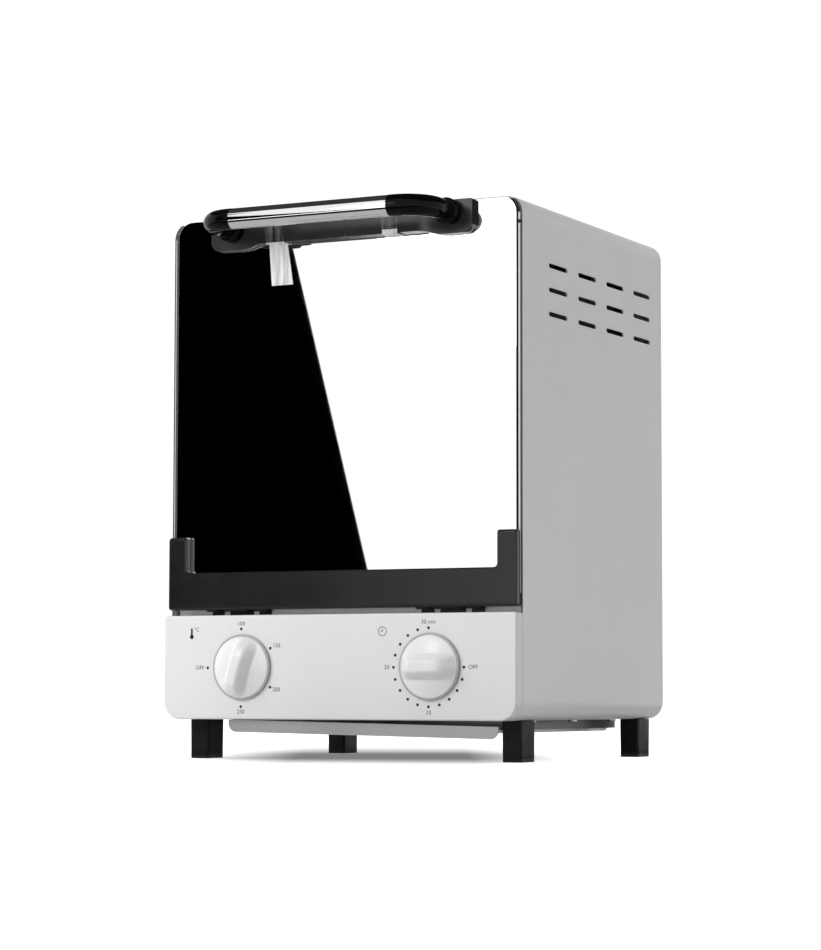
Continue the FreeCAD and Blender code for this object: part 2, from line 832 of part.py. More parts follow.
def foot(x, y):
    """Black plastic foot: a slightly tapered post with a screw recess."""
    def ring(width, depth, z):
        points = [FreeCAD.Vector(x + sx * width / 2, y + sy * depth / 2, z)
                  for sx, sy in ((-1, -1), (1, -1), (1, 1), (-1, 1))]
        return Part.makePolygon(points + [points[0]])
    toe = ring(foot_toe_width, foot_toe_depth, 0)
    post = Part.makeLoft([toe, ring(foot_width, foot_depth, base_z)], True)
    upright = [edge for edge in post.Edges if edge.BoundBox.ZLength > foot_height / 2]
    post = post.makeFillet(foot_edge, upright)
    recess = rod(foot_recess_radius, x, y, -cut_over, Z, foot_recess_depth + cut_over)
    hole = rod(foot_screw_hole, x, y, 0, Z, foot_height + cut_over)
    return post.cut([recess, hole])


def foot_screws():
    """Screws that hold the feet, each standing in its recess."""
    screws = []
    length = foot_height - foot_recess_depth + 2 * sheet + foot_screw_over
    for x, y in foot_centres().values():
        screws.append(panhead_screw(x, y, foot_recess_depth, Z.negative(), length))
    return Part.makeCompound(screws)


def door_glass():
    """Mirrored door glass with rounded top corners and two handle screw holes."""
    plate = rounded_block(-glass_half, glass_half, glass_bottom, glass_top, strip_edge_radius, glass_corner,
                          glass_setback, glass_back)
    cutters = [rod(handle_screw_radius + seat_gap, sign * handle_post_x, glass_setback - cut_over,
                   handle_z, Y, glass_thickness + 2 * cut_over) for sign in (-1, 1)]
    return plate.cut(cutters)


def door_frame_limits():
    """Outer and inner outline of the door's inner frame."""
    outer = glass_half - door_frame_inset
    low = glass_bottom - door_frame_lip
    high = glass_top - door_frame_drop + sheet
    return outer, low, high


def door_inner_frame():
    """Pressed channel frame behind the glass, open towards the glass."""
    outer, low, high = door_frame_limits()
    inner = outer - door_frame_rail
    window_low = low + door_frame_rail
    window_high = high - door_frame_rail
    wall = door_frame_sheet
    block = rounded_block(-outer, outer, low, high, wall, door_frame_corner, glass_back, door_frame_back)
    window = rounded_block(-inner, inner, window_low, window_high, door_frame_corner, door_frame_corner,
                           glass_back - cut_over, door_frame_back + cut_over)
    channel = rounded_block(-outer + wall, outer - wall, low + wall, high - wall,
                            wall, door_frame_corner - wall, glass_back - cut_over, door_frame_back - wall)
    island = rounded_block(-inner - wall, inner + wall, window_low - wall, window_high + wall,
                           door_frame_corner + wall, door_frame_corner + wall,
                           glass_back - cut_over, door_frame_back)
    access = [rod(handle_screw_access, sign * handle_post_x, door_frame_back - cut_over, handle_z, Y,
                  2 * cut_over) for sign in (-1, 1)]
    return block.cut(channel.cut(island)).cut([window] + access)


def hinge_strip():
    """Black U-shaped moulding over the bottom of the glass, with hinge pockets behind it."""
    outer = half_width - strip_inset
    low = panel_top + strip_rise
    bar_top = low + strip_height
    lug_top = bar_top + strip_lug_height
    block = rounded_block(-outer, outer, low, lug_top, strip_edge_radius, strip_edge_radius,
                          strip_setback, strip_back)
    outline = [edge for edge in block.Edges if edge.BoundBox.YMax < strip_setback + seat_gap]
    block = block.makeFillet(strip_front_radius, outline)
    gap_half = outer - strip_lug_width
    notch = rounded_block(-gap_half, gap_half, bar_top, lug_top + strip_height, strip_corner_radius,
                          strip_corner_radius, strip_setback - cut_over, strip_back + cut_over)
    block = block.cut(notch)
    bar_edge = [edge for edge in block.Edges if edge.BoundBox.YMax < strip_setback + seat_gap
                and abs(edge.BoundBox.ZMin - bar_top) < seat_gap and edge.BoundBox.ZLength < seat_gap]
    block = block.makeChamfer(strip_bevel, bar_edge)
    pockets = []
    half = hinge_length / 2 + pin_head_length + run_gap
    for side in (-1, 1):
        middle = side * hinge_spacing / 2
        pockets.append(box(middle - half, middle + half, hinge_setback - knuckle_radius - pocket_gap,
                           strip_back + cut_over, low - cut_over, hinge_z + knuckle_radius + pocket_gap))
    return block.cut(pockets)


def hinge_spans():
    """Start and end of the fixed knuckles along one hinge, from its middle."""
    half = hinge_length / 2
    return [(-half, -half + knuckle_length), (half - knuckle_length, half)]


def hinge_bracket(side):
    """Fixed part of one hinge: a plate on the sill with an ear and a knuckle at each end."""
    middle = side * hinge_spacing / 2
    half = hinge_length / 2
    plate_y = sill_y - hinge_plate_thickness
    z0 = panel_top + hinge_plate_rise
    plate = box(middle - half, middle + half, plate_y, sill_y, z0, z0 + hinge_plate_height)
    notches = []
    for sign in (-1, 1):
        near = door_knuckle_length / 2 + run_gap
        far = half - knuckle_length - run_gap
        low, high = sorted((middle + sign * near, middle + sign * far))
        notches.append(box(low, high, plate_y - cut_over, sill_y + cut_over, z0 - cut_over,
                           z0 + hinge_notch_height))
    pieces = [plate.cut(notches)]
    for start, end in hinge_spans():
        pieces.append(rod(knuckle_radius, middle + start, hinge_setback, hinge_z, X, end - start))
        pieces.append(box(middle + start, middle + end, hinge_setback, plate_y + seat_gap,
                          hinge_z - ear_thickness / 2, hinge_z + ear_thickness / 2))
    bore = rod(pin_radius + pin_play, middle - half - cut_over, hinge_setback, hinge_z, X,
               hinge_length + 2 * cut_over)
    return joined(pieces).cut(bore)


def hinge_pins():
    """Two hinge pins, each with a small head at its outer end."""
    pins = []
    for side in (-1, 1):
        middle = side * hinge_spacing / 2
        half = hinge_length / 2
        pin = rod(pin_radius, middle - half, hinge_setback, hinge_z, X, hinge_length)
        outer = middle + side * half
        start = min(outer, outer + side * pin_head_length)
        head = rod(pin_head_radius, start, hinge_setback, hinge_z, X, pin_head_length)
        pins.append(joined([pin, head]))
    return Part.makeCompound(pins)


def door_hinge_leaf(side):
    """Moving part of one hinge: a knuckle on an arm under the door's inner frame."""
    middle = side * hinge_spacing / 2
    half = hinge_length / 2
    knuckle_half = door_knuckle_length / 2
    leaf_top = glass_bottom - door_frame_lip
    leaf_y = glass_setback + run_gap
    leaf = box(middle - half, middle + half, leaf_y, leaf_y + hinge_leaf_depth,
               leaf_top - hinge_leaf_thickness, leaf_top)
    arm = box(middle - knuckle_half, middle + knuckle_half, leaf_y, leaf_y + hinge_arm_depth,
              hinge_z, leaf_top)
    knuckle = rod(knuckle_radius, middle - knuckle_half, hinge_setback, hinge_z, X, door_knuckle_length)
    bore = rod(pin_radius + pin_play, middle - knuckle_half - cut_over, hinge_setback, hinge_z, X,
               door_knuckle_length + 2 * cut_over)
    return joined([leaf, arm, knuckle]).cut(bore)


def s_curve(start, end, y):
    """Two tangent arcs between two level lines, as edges in the plane of the plate."""
    dx = (end[0] - start[0]) / 2
    dz = (end[1] - start[1]) / 2
    radius = (dx * dx + dz * dz) / (2 * abs(dz))
    half_turn = asin(abs(dx) / radius) / 2
    step_x = radius * sin(half_turn)
    step_z = radius - sqrt(radius * radius - step_x * step_x)
    sign_x = dx / abs(dx)
    sign_z = dz / abs(dz)
    middle = FreeCAD.Vector(start[0] + dx, y, start[1] + dz)
    first = FreeCAD.Vector(start[0] + sign_x * step_x, y, start[1] + sign_z * step_z)
    second = FreeCAD.Vector(end[0] - sign_x * step_x, y, end[1] - sign_z * step_z)
    begin = FreeCAD.Vector(start[0], y, start[1])
    finish = FreeCAD.Vector(end[0], y, end[1])
    return [Part.Arc(begin, first, middle).toShape(), Part.Arc(middle, second, finish).toShape()]


def handle_plate():
    """Dark plate behind the handle, with a lobe round each post."""
    y = glass_setback - plate_thickness
    top = glass_top - plate_top_drop
    lobe = top - plate_lobe_height
    waist = top - plate_middle_height
    half = plate_half_width
    high_x = half - plate_top_corner
    high_z = top - plate_top_corner
    low_x = half - plate_corner
    low_z = lobe + plate_corner

    def at(x, z):
        return FreeCAD.Vector(x, y, z)

    def line(start, end):
        return Part.LineSegment(at(*start), at(*end)).toShape()

    def arc(start, middle, end):
        return Part.Arc(at(*start), middle, at(*end)).toShape()
    edges = [line((-high_x, top), (high_x, top))]
    edges.append(arc((high_x, top), corner_arc(high_x, high_z, plate_top_corner, 1, 1, y), (half, high_z)))
    edges.append(line((half, high_z), (half, low_z)))
    edges.append(arc((half, low_z), corner_arc(low_x, low_z, plate_corner, 1, -1, y), (low_x, lobe)))
    edges.append(line((low_x, lobe), (plate_lobe_end, lobe)))
    edges += s_curve((plate_lobe_end, lobe), (plate_lobe_start, waist), y)
    edges.append(line((plate_lobe_start, waist), (-plate_lobe_start, waist)))
    edges += s_curve((-plate_lobe_start, waist), (-plate_lobe_end, lobe), y)
    edges.append(line((-plate_lobe_end, lobe), (-low_x, lobe)))
    edges.append(arc((-low_x, lobe), corner_arc(-low_x, low_z, plate_corner, -1, -1, y), (-half, low_z)))
    edges.append(line((-half, low_z), (-half, high_z)))
    edges.append(arc((-half, high_z), corner_arc(-high_x, high_z, plate_top_corner, -1, 1, y),
                     (-high_x, top)))
    plate = Part.Face(Part.Wire(edges)).extrude(FreeCAD.Vector(0, plate_thickness, 0))
    holes = [rod(handle_screw_radius + seat_gap, sign * handle_post_x, y - cut_over, handle_z, Y,
                 plate_thickness + 2 * cut_over) for sign in (-1, 1)]
    return plate.cut(holes)


def handle_elbow():
    """Right-hand elbow: it carries the bar's end and curves back to a collar on the plate."""
    bend = handle_post_x - bar_half_length - elbow_straight
    start = FreeCAD.Vector(bar_half_length, -handle_reach, handle_z)
    bend_start = FreeCAD.Vector(bar_half_length + elbow_straight, -handle_reach, handle_z)
    reach = bend / sqrt(2)
    bend_middle = FreeCAD.Vector(bar_half_length + elbow_straight + reach,
                                 -handle_reach + bend - reach, handle_z)
    bend_end = FreeCAD.Vector(handle_post_x, -handle_reach + bend, handle_z)
    plate_front = glass_setback - plate_thickness
    end = FreeCAD.Vector(handle_post_x, plate_front, handle_z)
    path = Part.Wire([Part.LineSegment(start, bend_start).toShape(),
                      Part.Arc(bend_start, bend_middle, bend_end).toShape(),
                      Part.LineSegment(bend_end, end).toShape()])
    section = Part.Wire([Part.makeCircle(elbow_radius, start, X)])
    tube = path.makePipeShell([section], True, False)
    collar = rod(collar_radius, handle_post_x, plate_front - collar_length, handle_z, Y, collar_length)
    rim = [edge for edge in collar.Edges if edge.Closed
           and edge.BoundBox.YMax < plate_front - collar_length + seat_gap]
    collar = collar.makeFillet(collar_edge, rim)
    spigot = rod(bar_radius - bar_wall - seat_gap, bar_half_length - spigot_length, -handle_reach,
                 handle_z, X, spigot_length + elbow_straight)
    bore = rod(handle_screw_radius + pin_play, handle_post_x, plate_front - handle_screw_depth, handle_z, Y,
               handle_screw_depth + cut_over)
    return joined([tube, collar, spigot]).cut(bore)


def handle_bar():
    """Chrome tube between the elbows."""
    length = 2 * bar_half_length
    tube = rod(bar_radius, -bar_half_length, -handle_reach, handle_z, X, length)
    bore = rod(bar_radius - bar_wall, -bar_half_length - cut_over, -handle_reach, handle_z, X,
               length + 2 * cut_over)
    return tube.cut(bore)


def handle_screws():
    """Screws from inside the door, through the glass and the plate, into the elbows."""
    screws = []
    plate_front = glass_setback - plate_thickness
    for sign in (-1, 1):
        x = sign * handle_post_x
        shank = rod(handle_screw_radius, x, plate_front - handle_screw_depth + seat_gap, handle_z, Y,
                    glass_back - plate_front + handle_screw_depth - seat_gap)
        head = rod(handle_screw_head_radius, x, glass_back, handle_z, Y, handle_screw_head_length)
        screws.append(joined([shank, head]))
    return Part.makeCompound(screws)


def tape_strip(side, top_insets, bottom_insets, end_drop):
    """Clear tape from the handle plate down on to the glass, as a thin skewed strip."""
    top_span = sorted(side * (plate_lobe_start - inset) for inset in top_insets)
    bottom_span = sorted(side * (plate_lobe_start - inset) for inset in bottom_insets)
    plate_front = glass_setback - plate_thickness
    waist = glass_top - plate_top_drop - plate_middle_height
    start_z = glass_top - tape_start_drop
    end_z = glass_top - end_drop
    share = (start_z - waist) / (start_z - end_z)
    waist_span = [a + (b - a) * share for a, b in zip(top_span, bottom_span)]

    def panel(upper, lower, z_high, z_low, y):
        front = y - tape_thickness
        points = [FreeCAD.Vector(upper[0], front, z_high), FreeCAD.Vector(upper[1], front, z_high),
                  FreeCAD.Vector(lower[1], front, z_low), FreeCAD.Vector(lower[0], front, z_low)]
        face = Part.Face(Part.makePolygon(points + [points[0]]))
        return face.extrude(FreeCAD.Vector(0, tape_thickness, 0))
    on_plate = panel(top_span, waist_span, start_z, waist - tape_thickness, plate_front)
    on_glass = panel(waist_span, bottom_span, waist - tape_thickness, end_z, glass_setback)
    step = box(waist_span[0], waist_span[1], plate_front - tape_thickness, glass_setback,
               waist - 2 * tape_thickness, waist - tape_thickness)
    return joined([on_plate, on_glass, step])


def knob_body():
    """Low round body of a knob with its face towards +Z: a rim, a shoulder and a slightly domed face."""
    points = [
        FreeCAD.Vector(0, 0, 0),
        FreeCAD.Vector(knob_radius, 0, 0),
        FreeCAD.Vector(knob_radius, 0, knob_rim),
        FreeCAD.Vector(knob_cap_radius, 0, knob_shoulder),
        FreeCAD.Vector(0, 0, knob_face_height),
    ]
    rise = knob_face_height - knob_shoulder
    crown = (knob_cap_radius * knob_cap_radius + rise * rise) / (2 * rise)
    bulge_x = knob_cap_radius / 2
    bulge = FreeCAD.Vector(bulge_x, 0, knob_face_height - crown + sqrt(crown * crown - bulge_x * bulge_x))
    edges = [
        Part.LineSegment(points[0], points[1]).toShape(),
        Part.LineSegment(points[1], points[2]).toShape(),
        Part.LineSegment(points[2], points[3]).toShape(),
        Part.Arc(points[3], bulge, points[4]).toShape(),
        Part.LineSegment(points[4], points[0]).toShape(),
    ]
    return Part.Face(Part.Wire(edges)).revolve(FreeCAD.Vector(0, 0, 0), Z, full_turn)


def knob_grip():
    """Grip bar across a knob, along Y: hollow flanks, rounded top edges and rounded ends."""
    foot_x = knob_grip_foot / 2
    top_x = knob_grip_width / 2
    span = foot_x - top_x
    hollow_x = top_x + span * knob_hollow_share
    hollow_z = knob_shoulder + (knob_height - knob_shoulder) * knob_hollow_share

    def at(x, z):
        return FreeCAD.Vector(x, -knob_radius, z)
    edges = [
        Part.LineSegment(at(-foot_x, 0), at(foot_x, 0)).toShape(),
        Part.LineSegment(at(foot_x, 0), at(foot_x, knob_shoulder)).toShape(),
        Part.Arc(at(foot_x, knob_shoulder), at(hollow_x, hollow_z), at(top_x, knob_height)).toShape(),
        Part.LineSegment(at(top_x, knob_height), at(-top_x, knob_height)).toShape(),
        Part.Arc(at(-top_x, knob_height), at(-hollow_x, hollow_z), at(-foot_x, knob_shoulder)).toShape(),
        Part.LineSegment(at(-foot_x, knob_shoulder), at(-foot_x, 0)).toShape(),
    ]
    bar = Part.Face(Part.Wire(edges)).extrude(FreeCAD.Vector(0, 2 * knob_radius, 0))
    ends = Part.makeCone(knob_grip_radius, knob_grip_top_radius, knob_height)
    bar = bar.common(ends)
    rim = [edge for edge in bar.Edges if edge.BoundBox.ZMin > knob_height - seat_gap]
    return bar.makeFillet(knob_grip_edge, rim)


def knob(side, turn):
    """One hollow-backed knob, with its grip bar turned clockwise from upright."""
    blank = joined([knob_body(), knob_grip()])
    cavity = Part.makeCylinder(knob_cavity_radius, knob_cavity_depth + cut_over,
                               FreeCAD.Vector(0, 0, -cut_over), Z)
    hub = Part.makeCylinder(knob_hub_radius, knob_cavity_depth + cut_over, FreeCAD.Vector(0, 0, -cut_over), Z)
    bore = Part.makeCylinder(shaft_radius + shaft_play, shaft_in_knob + cut_over,
                             FreeCAD.Vector(0, 0, -cut_over), Z)
    shape = blank.cut([cavity.cut(hub), bore])
    shape.rotate(FreeCAD.Vector(0, 0, 0), Z, -turn)
    shape.rotate(FreeCAD.Vector(0, 0, 0), X, quarter_turn)
    shape.translate(FreeCAD.Vector(side * control_spacing / 2, -knob_gap, control_z))
    return shape


def control_shaft(side):
    """Shaft from the knob's hub into the control's body."""
    start = -knob_gap - shaft_in_knob + seat_gap
    return rod(shaft_radius, side * control_spacing / 2, start, control_z, Y, shaft_in_body - start)


def control_bore(side):
    """Cutter for the running bore that carries a control shaft."""
    return rod(shaft_radius + shaft_play, side * control_spacing / 2, -cut_over, control_z, Y,
               shaft_in_body + cut_over + run_gap)


def screw_clearances(depth):
    """Cutters for the four control screws behind the panel."""
    return [rod(control_screw_radius + seat_gap, x, 0, z, Y, depth) for x, z in control_screw_places()]


def thermostat_bracket():
    """Plate that carries the thermostat on the back of the panel."""
    x = -control_spacing / 2
    plate = box(x - thermostat_plate_width / 2, x + thermostat_plate_width / 2, panel_sheet,
                panel_sheet + control_plate, control_z - thermostat_plate_height / 2,
                control_z + thermostat_plate_height / 2)
    hole = rod(shaft_hole_radius, x, 0, control_z, Y, panel_sheet + control_plate + cut_over)
    return plate.cut([hole] + screw_clearances(panel_sheet + control_plate + cut_over))


def thermostat_body():
    """Thermostat: a square base and a round ceramic stack."""
    x = -control_spacing / 2
    y0 = panel_sheet + control_plate
    half = thermostat_base_width / 2
    base = box(x - half, x + half, y0, y0 + thermostat_base_depth, control_z - half, control_z + half)
    stack = rod(thermostat_radius, x, y0 + thermostat_base_depth, control_z, Y,
                thermostat_depth - thermostat_base_depth)
    return joined([base, stack]).cut([control_bore(-1)] + screw_clearances(y0 + control_screw_length))


def timer_plate():
    """Plate that carries the timer on the back of the panel."""
    x = control_spacing / 2
    half = timer_plate_size / 2
    plate = box(x - half, x + half, panel_sheet, panel_sheet + control_plate,
                control_z - half, control_z + half)
    hole = rod(shaft_hole_radius, x, 0, control_z, Y, panel_sheet + control_plate + cut_over)
    return plate.cut([hole] + screw_clearances(panel_sheet + control_plate + cut_over))


def timer_body():
    """Clockwork timer in its box, with the bell's post behind it."""
    x = control_spacing / 2
    y0 = panel_sheet + control_plate
    body = box(x - timer_width / 2, x + timer_width / 2, y0, y0 + timer_depth,
               control_z - timer_height / 2, control_z + timer_height / 2)
    post = rod(bell_post_radius, x, y0 + timer_depth, control_z, Y, bell_gap)
    return joined([body, post]).cut([control_bore(1)] + screw_clearances(y0 + control_screw_length))


def timer_bell():
    """Dished bell on the timer's post, open towards the timer."""
    x = control_spacing / 2
    y0 = panel_sheet + control_plate + timer_depth + bell_gap
    dish = rod(bell_radius, x, y0 - bell_gap / 2, control_z, Y, bell_depth)
    far_rim = [edge for edge in dish.Edges if edge.Closed
               and edge.BoundBox.YMin > y0 - bell_gap / 2 + bell_depth - seat_gap]
    dish = dish.makeFillet(bell_depth / 2, far_rim)
    hollow = rod(bell_radius - bell_wall, x, y0 - bell_gap / 2 - cut_over, control_z, Y,
                 cut_over + bell_depth - bell_depth / 2)
    seat = rod(bell_post_radius, x, y0, control_z, Y, bell_depth - bell_gap / 2)
    return joined([dish.cut(hollow), seat])


def control_screws():
    """Short screws that hold the two control plates, hidden below the knobs."""
    screws = []
    for x, z in control_screw_places():
        screws.append(panhead_screw(x, 0, z, Y.negative(), control_screw_length))
    return Part.makeCompound(screws)


def tilted(shape):
    """Turn a piece about a line along Y at the middle of the body's bottom, right side down."""
    shape.rotate(FreeCAD.Vector(0, 0, base_z - crumb_middle_drop()), Y, tray_tilt)
    return shape


def crumb_middle_drop():
    """How far the tray's top hangs below the body at its middle, so that its left end clears."""
    return crumb_top_drop + crumb_lip_half_width * tan(radians(tray_tilt))


def crumb_tray():
    """Thin pan with side flanges, a bent-down front lip and a sloping rear."""
    top = base_z - crumb_middle_drop()
    lip = rounded_block(-crumb_lip_half_width, crumb_lip_half_width, top - crumb_lip_height, top,
                        crumb_lip_corner, crumb_sheet / 2, crumb_front, crumb_front + crumb_sheet)
    y0 = crumb_front
    y1 = crumb_front + crumb_length
    half = crumb_pan_half_width
    bottom = top - crumb_pan_depth

    def profile(inset, front, back, floor, roof):
        points = [FreeCAD.Vector(-half + inset, front, floor), FreeCAD.Vector(-half + inset, back, floor),
                  FreeCAD.Vector(-half + inset, back + crumb_rear_slope, roof),
                  FreeCAD.Vector(-half + inset, front, roof)]
        face = Part.Face(Part.makePolygon(points + [points[0]]))
        return face.extrude(FreeCAD.Vector(2 * (half - inset), 0, 0))
    outer = profile(0, y0, y1, bottom, top)
    inner = profile(crumb_sheet, y0 + crumb_sheet, y1 - crumb_sheet, bottom + crumb_sheet, top + crumb_sheet)
    flanges = []
    for sign in (-1, 1):
        low, high = sorted((sign * half, sign * (half + crumb_flange)))
        flanges.append(box(low, high, y0, y1, top - crumb_sheet, top))
    return tilted(joined([outer, lip] + flanges).cut(inner))


def crumb_rail(side):
    """Channel under the base plate that carries one flange of the tray."""
    slope = tan(radians(tray_tilt))
    inner = side * (crumb_pan_half_width + crumb_flange + crumb_rail_side_gap)
    outer = inner + side * crumb_rail_web
    ledge_in = inner - side * crumb_rail_ledge
    flange_low = base_z - crumb_middle_drop() - side * crumb_pan_half_width * slope - crumb_sheet
    edge_low = flange_low - side * crumb_flange * slope
    ledge_top = min(flange_low, edge_low) - crumb_rail_slack
    front = crumb_front + crumb_rail_front
    back = front + crumb_rail_length
    roof = base_z + sheet

    def span(a, b):
        return sorted((a, b))
    web = box(*span(inner, outer), front, back, ledge_top - crumb_rail_web, roof)
    ledge = box(*span(ledge_in, outer), front, back, ledge_top - crumb_rail_web, ledge_top)
    seat = box(*span(ledge_in, outer), front, back, roof - crumb_rail_web, roof)
    return joined([web, ledge, seat])


def door_catch():
    """Small black nylon catch clipped over the right side of the surround."""
    z1 = top_z - catch_drop
    z0 = z1 - catch_height
    inner = glass_half + catch_gap
    cap = box(inner, half_width - catch_gap, glass_setback - catch_front, glass_setback, z0, z1)
    leg = box(inner, surround_inner, glass_setback - catch_front, glass_setback + catch_depth, z0, z1)
    return joined([cap, leg])


def build():
    """Make every piece and write it."""
    export("outer_shell", outer_shell())
    export("control_panel", control_panel())
    export("front_frame", front_frame())
    export("chamber_liner", chamber_liner())
    export("base_plate", base_plate())
    export("back_panel", back_panel())
    export("right_rack_rail", rack_rail())
    export("left_rack_rail", mirrored(rack_rail()))
    tubes = [heating_tube(y, z) for y, z in tube_places()]
    export("lower_heating_tubes", Part.makeCompound(tubes[:2]))
    export("upper_heating_tubes", Part.makeCompound(tubes[2:]))
    export("heater_bushes", heater_bushes())
    export("wire_rack", wire_rack())
    export("instrument_tray", instrument_tray())
    export("back_screws", back_screws())
    export("base_screws", base_screws())
    export("foot_screws", foot_screws())
    export("cord_gland", cord_gland())
    export("terminal_block", terminal_block())
    for name, (x, y) in foot_centres().items():
        export(name + "_foot", foot(x, y))
    export("door_glass", door_glass())
    export("door_inner_frame", door_inner_frame())
    export("hinge_strip", hinge_strip())
    export("hinge_pins", hinge_pins())
    for name, side in (("left", -1), ("right", 1)):
        export(name + "_hinge_bracket", hinge_bracket(side))
        export(name + "_door_hinge_leaf", door_hinge_leaf(side))
        export(name + "_tray_rail", crumb_rail(side))
    export("handle_plate", handle_plate())
    export("right_handle_elbow", handle_elbow())
    export("left_handle_elbow", mirrored(handle_elbow()))
    export("handle_bar", handle_bar())
    export("handle_screws", handle_screws())
    export("left_tape_strip", tape_strip(-1, left_tape_top, left_tape_bottom, left_tape_end_drop))
    export("right_tape_strip", tape_strip(1, right_tape_top, right_tape_bottom, right_tape_end_drop))
    export("temperature_knob", knob(-1, temperature_knob_turn))
    export("timer_knob", knob(1, timer_knob_turn))
    export("thermostat_shaft", control_shaft(-1))
    export("timer_shaft", control_shaft(1))
    export("thermostat_bracket", thermostat_bracket())
    export("thermostat_body", thermostat_body())
    export("timer_plate", timer_plate())
    export("timer_body", timer_body())
    export("timer_bell", timer_bell())
    export("control_screws", control_screws())
    export("crumb_tray", crumb_tray())
    export("door_catch", door_catch())


build()
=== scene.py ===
"""Dry heat sterilizer: materials, printed dials and studio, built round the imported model.

Sizes are in metres unless a name says otherwise. X runs to the right, Y to the back, Z up.
"""

import json
import logging
from collections.abc import Sequence
from dataclasses import dataclass, replace
from enum import Enum
from math import cos, hypot, pi, radians, sin, sqrt

import bmesh
import bpy
from mathutils import Matrix, Vector


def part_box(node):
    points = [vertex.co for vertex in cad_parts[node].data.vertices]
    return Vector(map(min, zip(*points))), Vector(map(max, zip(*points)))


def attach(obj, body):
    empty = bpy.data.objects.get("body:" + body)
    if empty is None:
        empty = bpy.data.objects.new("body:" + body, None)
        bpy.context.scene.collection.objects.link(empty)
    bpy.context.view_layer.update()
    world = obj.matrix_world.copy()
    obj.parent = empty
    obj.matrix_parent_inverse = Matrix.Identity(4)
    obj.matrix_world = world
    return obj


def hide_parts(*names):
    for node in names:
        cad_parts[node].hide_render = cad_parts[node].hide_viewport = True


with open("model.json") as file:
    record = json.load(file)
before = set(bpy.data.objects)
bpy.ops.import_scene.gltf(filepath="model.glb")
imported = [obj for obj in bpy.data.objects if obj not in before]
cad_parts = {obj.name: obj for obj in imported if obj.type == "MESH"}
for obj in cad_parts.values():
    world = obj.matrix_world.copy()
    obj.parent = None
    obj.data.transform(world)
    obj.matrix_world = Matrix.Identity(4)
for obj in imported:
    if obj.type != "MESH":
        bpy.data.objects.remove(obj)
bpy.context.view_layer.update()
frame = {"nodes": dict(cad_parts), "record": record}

log = logging.getLogger("sterilizer")

MM = 0.001
IMAGE_HEIGHT = 950
# Name of the mesh layer that marks where painted shade darkens a knob's edge ring.
PAINTED_SHADE_LAYER = "shade"
FLOAT = "NodeSocketFloat"
COLOUR = "NodeSocketColor"
INK_DEPTH = 0.00006
# The Mix node's colour sockets share their names with other sockets, so they go by number.
MIX_A, MIX_B, MIX_RESULT = 6, 7, 2

Colour = tuple[float, float, float]
Point = tuple[float, float, float]
Pair = tuple[float, float]
Span = tuple[float, float]
Socket = bpy.types.NodeSocket
Tree = bpy.types.NodeTree
Material = bpy.types.Material
Mesh = bpy.types.Mesh
Object = bpy.types.Object
Shape = bmesh.types.BMesh


class Body(Enum):
    """The moving groups of the model."""

    HOUSING = "housing"
    DOOR = "door"
    TEMPERATURE = "temperature_control"
    TIMER = "timer_control"


def grey(level: float) -> Colour:
    """A neutral linear colour from a display level between 0 and 255."""
    return tint(level, level, level)


def tint(red: float, green: float, blue: float) -> Colour:
    """A linear colour from display levels between 0 and 255."""
    return tuple(linear(value / 255) for value in (red, green, blue))


def linear(value: float) -> float:
    """One display value between 0 and 1 as linear light, by the standard display curve."""
    return value / 12.92 if value <= 0.04045 else ((value + 0.055) / 1.055) ** 2.4


def plain(value: float | Colour) -> float | tuple[float, float, float, float]:
    """A constant as sockets take it: a number as it is, a colour with full opacity."""
    return (*value, 1.0) if isinstance(value, tuple) else value


def add_node(tree: Tree, kind: str, inputs: dict[str | int, object] | None = None,
             **settings: object) -> bpy.types.Node:
    """Place a node in a tree.

    Args:
        tree: the tree.
        kind: the node's type.
        inputs: the socket or constant for each input, by its name or index.
        settings: the node's own properties.

    Returns:
        The node.
    """
    node = tree.nodes.new(kind)
    for name, value in settings.items():
        setattr(node, name, value)
    for key, value in (inputs or {}).items():
        if isinstance(value, Socket):
            tree.links.new(value, node.inputs[key])
        else:
            node.inputs[key].default_value = value
    return node


def math_node(tree: Tree, operation: str, *values: Socket | float) -> Socket:
    """Result of one arithmetic node on sockets and constants."""
    return add_node(tree, "ShaderNodeMath", dict(enumerate(values)), operation=operation).outputs[0]


def ranged(tree: Tree, value: Socket, source: Span,
           target: tuple[Socket | float, Socket | float]) -> Socket:
    """Map a value from one span to another, held at both ends.

    Args:
        tree: the tree that the node goes into.
        value: what is mapped.
        source: the span that it comes from.
        target: the span that it goes to.

    Returns:
        The mapped value.
    """
    ends = {"From Min": source[0], "From Max": source[1], "To Min": target[0], "To Max": target[1]}
    return add_node(tree, "ShaderNodeMapRange", {"Value": value, **ends}).outputs["Result"]


def mixed(tree: Tree, share: Socket, first: Socket, second: Socket | Colour) -> Socket:
    """Mix two colours.

    Args:
        tree: the tree that the node goes into.
        share: how much of the second shows.
        first: the first colour.
        second: the second colour.

    Returns:
        The mixed colour.
    """
    inputs = {"Factor": share, MIX_A: first, MIX_B: plain(second)}
    return add_node(tree, "ShaderNodeMix", inputs, data_type="RGBA").outputs[MIX_RESULT]


def new_group(name: str, kind: str, inputs: Sequence[tuple[str, str]], output: tuple[str, str]) -> Tree:
    """Start a node group, whose numbers start at one.

    Args:
        name: its name.
        kind: the type of its tree.
        inputs: name and socket type of each input.
        output: name and socket type of its output.

    Returns:
        The group.
    """
    group = bpy.data.node_groups.new(name, kind)
    for label, socket_type in inputs:
        socket = group.interface.new_socket(label, in_out="INPUT", socket_type=socket_type)
        if socket_type == FLOAT:
            socket.default_value = 1.0
    group.interface.new_socket(output[0], in_out="OUTPUT", socket_type=output[1])
    return group


